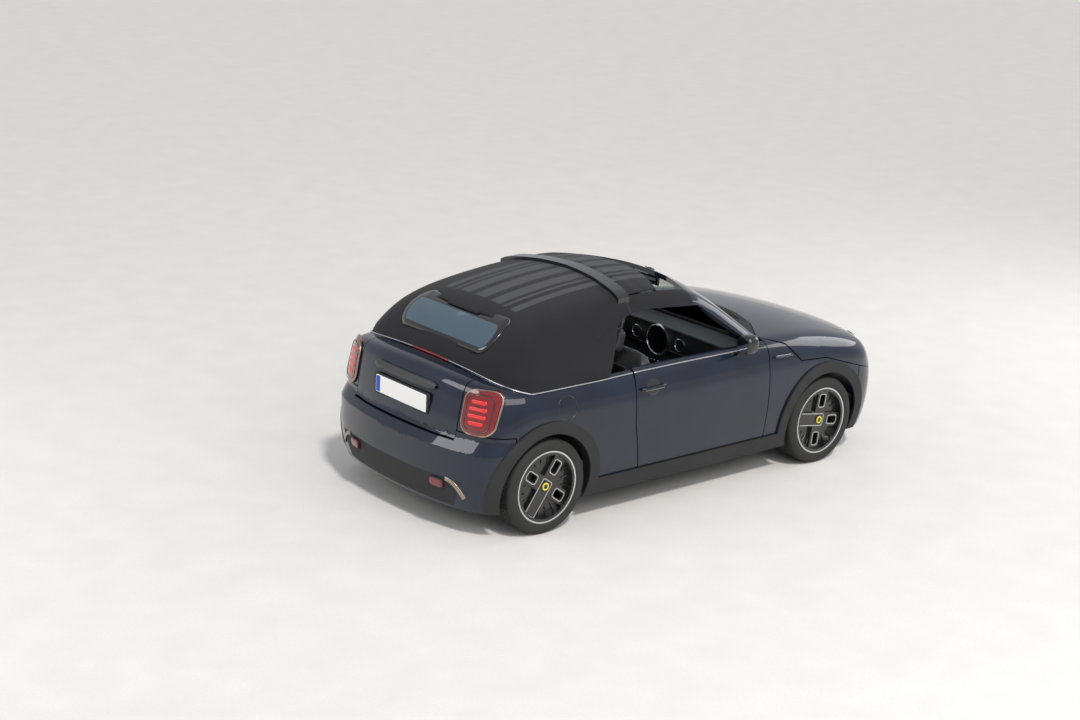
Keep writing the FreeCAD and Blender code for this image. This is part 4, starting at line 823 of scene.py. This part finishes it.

# Doors: bar handles over a round hollow painted as a flat dark patch of shade, inner trim with an armrest;
# filler flap with a painted shade ring for its groove; side trims on the wings
HANDLE_REAR_X, HANDLE_FRONT_X, HANDLE_X, HANDLE_Z, HOLLOW_SHADE_LONG = -600, -395, -490, 822, 1.2
FLAP_X, FLAP_Z, FLAP_RADIUS = -1212, 800, 76
for side, name in SIDES:
    door = "door_" + name
    xs = np.linspace(HANDLE_REAR_X, HANDLE_FRONT_X, 21)
    bar = on_side(xs, HANDLE_Z, side, 16)
    ends = np.minimum(1, 4 * np.minimum(np.linspace(0, 1, 21), np.linspace(1, 0, 21)) + 0.35)
    bar[:, 1] -= side * (1 - ends) * 14
    tube("handle_" + name, bar, 20, 15, PAINT, door, sides=12, square=0.7)
    tube("handle_line_" + name, on_side(xs[2:-2], HANDLE_Z - 10, side, 24), 4, 3, BRIGHT, door)
    loops = []
    # The hollow behind each handle is not cut: a flat black patch laid on the door paints its shade
    turn = full_turn(32)
    for radius, level in ((52, 0.5), (50, 0.8), (42, 0.6), (20, 0.6)):
        xs = HANDLE_X + radius * HOLLOW_SHADE_LONG * np.cos(turn)
        loops.append(on_side(xs, HANDLE_Z - 2 + radius * np.sin(turn), side, level))
    patch("handle_hollow_shade_" + name, loops, LAMP_BLACK_AND_SHADE, door, thick=0)
    trim = []
    for z in np.linspace(360, 925, 12):
        bulge = 12 + 26 * math.exp(-((z - 690) / 55) ** 2)
        trim.append([(x, side * (752 - bulge), z) for x in np.linspace(-500, 470, 24)])
    grid("door_trim_" + name, trim, DASH, door, thick=4, smooth=60)
    rest = [(x, side * 712, 715) for x in np.linspace(-360, 120, 12)]
    tube("armrest_" + name, rest, 62, 34, LEATHER, door, sides=14, square=0.6)
    pull = [(x, side * 705, 770) for x in np.linspace(60, 240, 8)]
    tube("door_pull_" + name, pull, 14, 18, BRIGHT, door, sides=10)
    bits = on_side(np.linspace(622, 800, 12), np.linspace(842, 836, 12), side, 5)
    tube("wing_trim_" + name, bits, 34, 9, GLOSS, sides=12, square=0.6)
    tube("wing_trim_line_" + name, bits[1:-1] + (0, side * 5, 10), 5, 4, BRIGHT)
# The filler flap's groove is a thin black ring laid on the wing: painted shade, not a cut
turn = full_turn(48)
flap = on_side(FLAP_X + FLAP_RADIUS * np.cos(turn), FLAP_Z + FLAP_RADIUS * np.sin(turn), -1, 0.4)
tube("flap_gap_shade", flap, 3.5, 2.5, LAMP_BLACK_AND_SHADE, close=True, up=(0, -1.0, 0))

# Mirrors: rounded shells with glass that faces rearward
MIRROR_X, MIRROR_Y, MIRROR_Z, MIRROR_POWER = 286.0, 903.0, 1004.0, 3.2
for side, name in SIDES:
    door = "door_" + name
    centre = np.array((MIRROR_X, side * MIRROR_Y, MIRROR_Z))
    rows = []
    for t in np.linspace(-1, 1, 19):
        width = (1 - abs(t) ** MIRROR_POWER) ** (1 / MIRROR_POWER) if t < 1 else 0
        x = t * 58
        ring = []
        for angle in full_turn(32):
            c, s = squared(angle, 0.72)
            ring.append(centre + (x, 60 * c * max(width, 0.03), 66 * s * max(width, 0.03)))
        rows.append(ring)
    shell = grid("mirror_shell_" + name, rows, GLOSS, door, close=True, smooth=70)
    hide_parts("door_mirror_" + name)
    loops = [np.array([centre + (-57 - lift, a * k, b * k) for a, b in rounded(92, 98, 36)])
             for k, lift in ((1, 0), (0.5, 0.6))]
    patch("mirror_glass_" + name, loops, MIRROR, door, thick=0)
    foot = [(288, side * (850 + 22 * t), 950 + 18 * t) for t in np.linspace(-1.9, 0.6, 8)]
    tube("mirror_foot_" + name, foot, 46, 24, GLOSS, door, sides=14, square=0.7)

# Headlamps: chrome ring, dark bowl, light ring and projector
NOSE_LAMP_Y, NOSE_LAMP_Z = 560.0, 712.0
for side, name in SIDES:
    def nose_ring(radius, level):
        turn = full_turn(48)
        ys = side * NOSE_LAMP_Y + radius * np.cos(turn)
        return on_body(ys, NOSE_LAMP_Z + radius * np.sin(turn), level, False)

    around = nose_ring(90, 2)
    tube("lamp_surround_" + name, around, 12, 9, BRIGHT, close=True, up=(1.0, side * 0.4, 0.4))
    cover = patch("lamp_cover_" + name, [nose_ring(86, 1), nose_ring(80, 5), nose_ring(50, 9),
                                         nose_ring(20, 10)], CLEAR, thick=2)
    if side < 0:
        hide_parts("headlamps")
    patch("lamp_bowl_" + name, [nose_ring(86, -2), nose_ring(84, -30), nose_ring(60, -44),
                                nose_ring(20, -46)], LAMP_BLACK_AND_SHADE, thick=0)
    tube("lamp_light_" + name, nose_ring(70, -14), 9, 9, WHITE, close=True, up=(1.0, 0, 0))
    patch("projector_" + name, [nose_ring(34, -40), nose_ring(30, -20), nose_ring(12, -14)], MIRROR, thick=0)

# Grille surround and slats
GRILLE = ((-400, 560), (400, 560), (455, 480), (400, 400), (-400, 400), (-455, 480))


def around_points(corners, steps=10):
    found = []
    for (y0, z0), (y1, z1) in zip(corners, corners[1:] + corners[:1]):
        found += [(y0 + (y1 - y0) * t, z0 + (z1 - z0) * t) for t in np.linspace(0, 1, steps, endpoint=False)]
    return np.array(found)


edge = around_points(GRILLE, 14)
tube("grille_surround", on_body(edge[:, 0], edge[:, 1], 2, False), 14, 9, BRONZE, close=True, up=(1.0, 0, 0),
     sides=10)
SLAT_HALF, SLAT_MIDDLE_Z, SLAT_TAPER, INTAKE_HALF = 441, 480, 55 / 80, 505
for number, z in enumerate((430, 455, 480, 505, 530)):
    half = SLAT_HALF - abs(z - SLAT_MIDDLE_Z) * SLAT_TAPER
    ys = np.linspace(-half, half, 31)
    tube("grille_slat_%d" % number, on_body(ys, z, 2, False), 5, 5, GLOSS)
for number, z in enumerate((262, 285, 308)):
    ys = np.linspace(-INTAKE_HALF, INTAKE_HALF, 31)
    tube("intake_slat_%d" % number, on_body(ys, z, 2, False), 5, 6, MATT)

# Wipers, aerial and inner mirror
for number, (y0, y1) in enumerate(((-380, 120), (60, 560))):
    arm_start = on_body(y0, 985, 24, False, greenhouse)
    arm_end = on_body((y0 + y1) / 2, 1018, 26, False, greenhouse)
    tube("wiper_arm_%d" % number, [arm_start, (arm_start + arm_end) / 2 + (6, 0, 6), arm_end], 14, 9, MATT,
         sides=8)
    ys = np.linspace(y0 + 40, y1, 15)
    tube("wiper_blade_%d" % number, on_body(ys, np.linspace(1004, 1030, 15), 9, False, greenhouse), 8, 12,
         RUBBER, sides=8)
root = on_top(215.0, 0.0, 0)
tube("aerial_foot", [root + (30, 0, -6), root + (0, 0, 8), root + (-26, 0, 10)], 26, 18, GLOSS, sides=12)
tube("aerial", [root + (-10, 0, 10), root + (-50, 0, 30)], 5, 5, RUBBER, sides=8)
tube("inner_mirror", [(185, y, 1262 - 0.00006 * y * y) for y in np.linspace(-120, 120, 13)], 22, 62, GLOSS,
     sides=12, square=0.6)
tube("inner_mirror_stalk", [(190, 0, 1262), (222, 0, 1318)], 14, 14, GLOSS)


# Seats and bench: crowned, sewn cushions
def cushion(name, centre, size, turn, channels=(), bolster=0.0, squareness=0.45):
    rows = []
    long_steps, cross_steps = 49, 40
    rotate = Matrix.Rotation(math.radians(turn), 3, "Y")
    for t in np.linspace(-1, 1, long_steps):
        pull = (1 - abs(t) ** 5) ** 0.5 if abs(t) < 1 else 0.0
        ring = []
        for angle in full_turn(cross_steps):
            c, s = squared(angle, squareness)
            y, z = c * (0.35 + 0.65 * pull), s * (0.15 + 0.85 * pull)
            lift = 1.0
            if s > 0:
                edge_lift = bolster * max(0.0, abs(y) - 0.62) / 0.38
                groove = sum(0.09 * math.exp(-((t - place) / 0.018) ** 2) for place in channels
                             if abs(y) < 0.64)
                groove += 0.1 * math.exp(-((abs(y) - 0.64) / 0.02) ** 2) if bolster else 0.0
                lift = 1.0 + edge_lift + 0.12 * (1 - t * t) * (1 - y * y) - groove
            point = Vector((t * size[0] / 2, y * size[1] / 2, z * lift * size[2] / 2))
            ring.append(np.array(centre) + np.array(rotate @ point))
        rows.append(ring)
    made = grid(name, rows, LEATHER, close=True, smooth=180)
    cap_ends(made, cross_steps, long_steps)
    piping = [row[6] for row in rows[2:-2]]
    tube(name + "_piping", piping, 5, 5, STITCH, sides=6)
    return made


LEAN, SEAT_Y, BENCH_Y = 17, 360, 270
for side, name in SIDES:
    y = side * SEAT_Y
    base = cushion("seat_cushion_" + name, (-10, y, 428), (430, 480, 130), 4, (-0.35, 0, 0.35, 0.7),
                   0.4)
    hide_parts("front_seat_" + name)
    up = np.array((-math.sin(math.radians(LEAN)), 0, math.cos(math.radians(LEAN))))
    out = np.array((math.cos(math.radians(LEAN)), 0, math.sin(math.radians(LEAN))))
    pivot = np.array((-330.0, y, 330.0))
    cushion("seat_back_" + name, pivot + up * 325 + out * 66, (560, 470, 118), -(90 - LEAN),
            (-0.5, -0.2, 0.1, 0.4), 0.35)
    cushion("headrest_" + name, pivot + up * 700 + out * 72, (170, 245, 88), -(90 - LEAN))
    for number, dy in enumerate((-55, 55)):
        post = pivot + up * 570 + out * 66
        tube("headrest_post_%s_%d" % (name, number), [post + (0, dy, 0), post + (0, dy, 0) + up * 80], 12, 12,
             BRIGHT)
    shell_rows = [[pivot + up * h + out * (4 - 3 * math.sin(math.pi * (h - 40) / 540)) + (0, w, 0)
                   for w in np.linspace(-215, 215, 9)] for h in np.linspace(40, 580, 9)]
    grid("seat_shell_" + name, shell_rows, DASH, thick=10, bevel=4)
    flat = rounded(380, 420, 40, 4)
    rows = [[(-70 + a, y + b, z) for a, b in flat] for z in (212, 362)]
    grid("seat_base_" + name, rows, DASH, close=True, smooth=40)
for number, y in enumerate((-BENCH_Y, BENCH_Y)):
    made = cushion("bench_cushion_%d" % number, (-820, y, 395), (380, 530, 110), 3, (-0.3, 0.2), 0.25)
    if number == 0:
        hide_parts("rear_bench")
    cushion("bench_back_%d" % number, (-1085, y, 665), (440, 530, 110), -82, (-0.3, 0.1, 0.5), 0.25)
BENCH_HALF = 545
for name, outline in (("bench_panel", ((-1168, 442), (-1168, 892), (-1135, 892), (-1120, 442))),
                      ("bench_base", ((-1015, 318), (-1015, 350), (-632, 350), (-632, 318)))):
    grid(name, [[(x, y, z) for x, z in outline] for y in (-BENCH_HALF, BENCH_HALF)], DASH, close=True,
         smooth=30)

# Dashboard details: round display, vents and switches; selector, armrest and cup rings on the console
DASH_X, VENT_Z, VENT_RADIUS, SLAT_STEP, SWITCH_STEP = 345.0, 812, 46, 20, 34


def dash_ring(name, y, z, radius, depth, paint, core):
    lathe(name, [(radius - 9, -depth), (radius - 5, -depth - 5), (radius, -depth - 3), (radius + 2, 4)],
          (DASH_X, y, z), paint, axis="x", steps=48)
    lathe(name + "_face", [(0, -depth + 2), (radius - 8, -depth + 2)], (DASH_X, y, z), core,
          axis="x", steps=48)


dash_ring("centre_display", 0, 800, 108, 16, BRIGHT, DISPLAY)
for number, y in enumerate((-620, -215, 215, 620)):
    dash_ring("vent_%d" % number, y, VENT_Z, VENT_RADIUS, 12, BRIGHT, DASH)
    for slat in range(3):
        rise = (slat - 1) * SLAT_STEP
        z = VENT_Z + rise
        half = math.sqrt((VENT_RADIUS - 8) ** 2 - rise ** 2)
        tube("vent_slat_%d_%d" % (number, slat), [(329, y - half, z), (329, y + half, z)], 8, 3, GLOSS,
             sides=6)
for number in range(5):
    y = (number - 2) * SWITCH_STEP
    tube("switch_%d" % number, [(332, y, 650), (310, y, 656)], 12, 9, BRIGHT, sides=8)
tube("dash_pad", [(352, y, 898 - 0.00003 * y * y) for y in np.linspace(-690, 690, 25)], 30, 26, LEATHER,
     sides=12)
tube("dash_trim", [(341, y, 735) for y in np.linspace(-680, 680, 5)], 12, 34, GLOSS, sides=12, square=0.5)
lathe("selector", [(0, 62), (20, 60), (26, 46), (20, 26), (14, 0), (30, -4)], (60, 0, 524), GLOSS, axis="z",
      steps=36)
tube("arm_rest_centre", [(x, 0, 545) for x in np.linspace(-360, -120, 9)], 150, 56, LEATHER, sides=18,
     square=0.5)
for number, x in enumerate((150, 235)):
    lathe("cup_%d" % number, [(38, 2), (41, 6), (44, 0)], (x, 0, 522), BRIGHT, axis="z", steps=36)

# Steering wheel: leather rim, padded boss, three spokes and two stalks
WHEEL_PLACE, WHEEL_TILT, RIM_RADIUS = np.array((150.0, 360.0, 865.0)), math.radians(24), 178
axis = np.array((-math.cos(WHEEL_TILT), 0, math.sin(WHEEL_TILT)))
rise = np.array((math.sin(WHEEL_TILT), 0, math.cos(WHEEL_TILT)))
turn = full_turn(72)
across = np.array((0, 1, 0))
rim = np.array([WHEEL_PLACE + (rise * math.cos(a) + across * math.sin(a)) * RIM_RADIUS for a in turn])
ring = tube("steering_rim", rim, 28, 30, LEATHER, "steering_wheel", close=True, sides=16, up=axis)
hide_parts("steering_wheel")
for number, a in enumerate((math.pi / 2, -math.pi / 2, math.pi)):
    way = rise * math.cos(a) + across * math.sin(a)
    tube("steering_spoke_%d" % number, [WHEEL_PLACE + way * r for r in (40, 100, 170)], 30, 12, GLOSS,
         "steering_wheel", up=axis, sides=12, square=0.6)
boss = [[WHEEL_PLACE + axis * h + rise * a * k + across * b * k for a, b in rounded(110, 130, 45)]
        for h, k in ((-14, 0.9), (-4, 1), (8, 0.97), (15, 0.8), (18, 0.4), (18.5, 0.02))]
grid("steering_boss", boss, DASH, "steering_wheel", close=True, smooth=70)
for number, dy in enumerate((-1, 1)):
    start = np.array((185.0, 360.0 + dy * 45, 850.0))
    tube("stalk_%d" % number, [start, start + (-6, dy * 120, 12)], 14, 10, GLOSS,
         sides=10)

# Nodes whose own mesh stays, each with its finish
KEPT = {"rim": WHEEL, "knuckle": CAST, "front_axle": CHASSIS, "rear_axle": CHASSIS, "floor_pan": CARPET,
        "battery_pack": BLOCK, "drive_unit": BLOCK, "radiator_panel": CHASSIS, "dashboard": DASH,
        "centre_console": DASH}
for name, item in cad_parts.items():
    for start, paint in KEPT.items():
        if name.startswith(start):
            item.data.materials.clear()
            item.data.materials.append(paint)


# Ground, light and backdrop
def lamp(name, kind, place, target, energy, size, colour=(1, 1, 1)):
    data = bpy.data.lights.new(name, kind)
    data.energy = energy
    data.color = colour
    if kind == "AREA":
        data.shape = "RECTANGLE"
        data.size, data.size_y = size
    else:
        data.angle = size
    item = bpy.data.objects.new(name, data)
    item.location = place
    item.rotation_euler = (Vector(target) - Vector(place)).to_track_quat("-Z", "Y").to_euler()
    bpy.context.scene.collection.objects.link(item)


GROUND_HALF, SEEN_STRENGTH, UNSEEN_STRENGTH = 60.0, 0.9, 0.55


def make_stage():
    ground = material("ground", (0.62, 0.61, 0.59), 0.8, drift=0.04, grain=60, bump=0.1)
    mesh = bpy.data.meshes.new("ground")
    side = GROUND_HALF
    mesh.from_pydata([(-side, -side, 0), (side, -side, 0), (side, side, 0), (-side, side, 0)], [],
                     [(0, 1, 2, 3)])
    mesh.materials.append(ground)
    item = bpy.data.objects.new("ground", mesh)
    bpy.context.scene.collection.objects.link(item)
    item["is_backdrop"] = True
    world = bpy.data.worlds.new("studio")
    bpy.context.scene.world = world
    world.use_nodes = True
    tree = world.node_tree
    path = add_node(tree, "LightPath", {}).outputs
    seen = add_node(tree, "Math", {0: path["Is Camera Ray"], 1: path["Is Transmission Ray"]}, "MAXIMUM")
    strength = add_node(tree, "MapRange", {
        "To Min": UNSEEN_STRENGTH, "To Max": SEEN_STRENGTH, "Value": seen.outputs[0]})
    give(tree, tree.nodes["Background"], {"Strength": strength.outputs[0], "Color": (0.93, 0.95, 1.0, 1)})
    lamp("key", "SUN", (-2, -6, 9), (0, 0, 0), 2.2, math.radians(6), (1, 0.97, 0.92))
    lamp("side_soft", "AREA", (-1, -7, 4.5), (0, 0, 0.6), 220, (7, 3))
    lamp("rear_soft", "AREA", (-8, 2, 4), (-1, 0, 0.8), 160, (4, 3))
    lamp("front_soft", "AREA", (7, -2, 4), (1, 0, 0.6), 160, (5, 3))


make_camera()
make_stage()
bpy.context.scene.view_settings.view_transform = "Standard"
low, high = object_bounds()
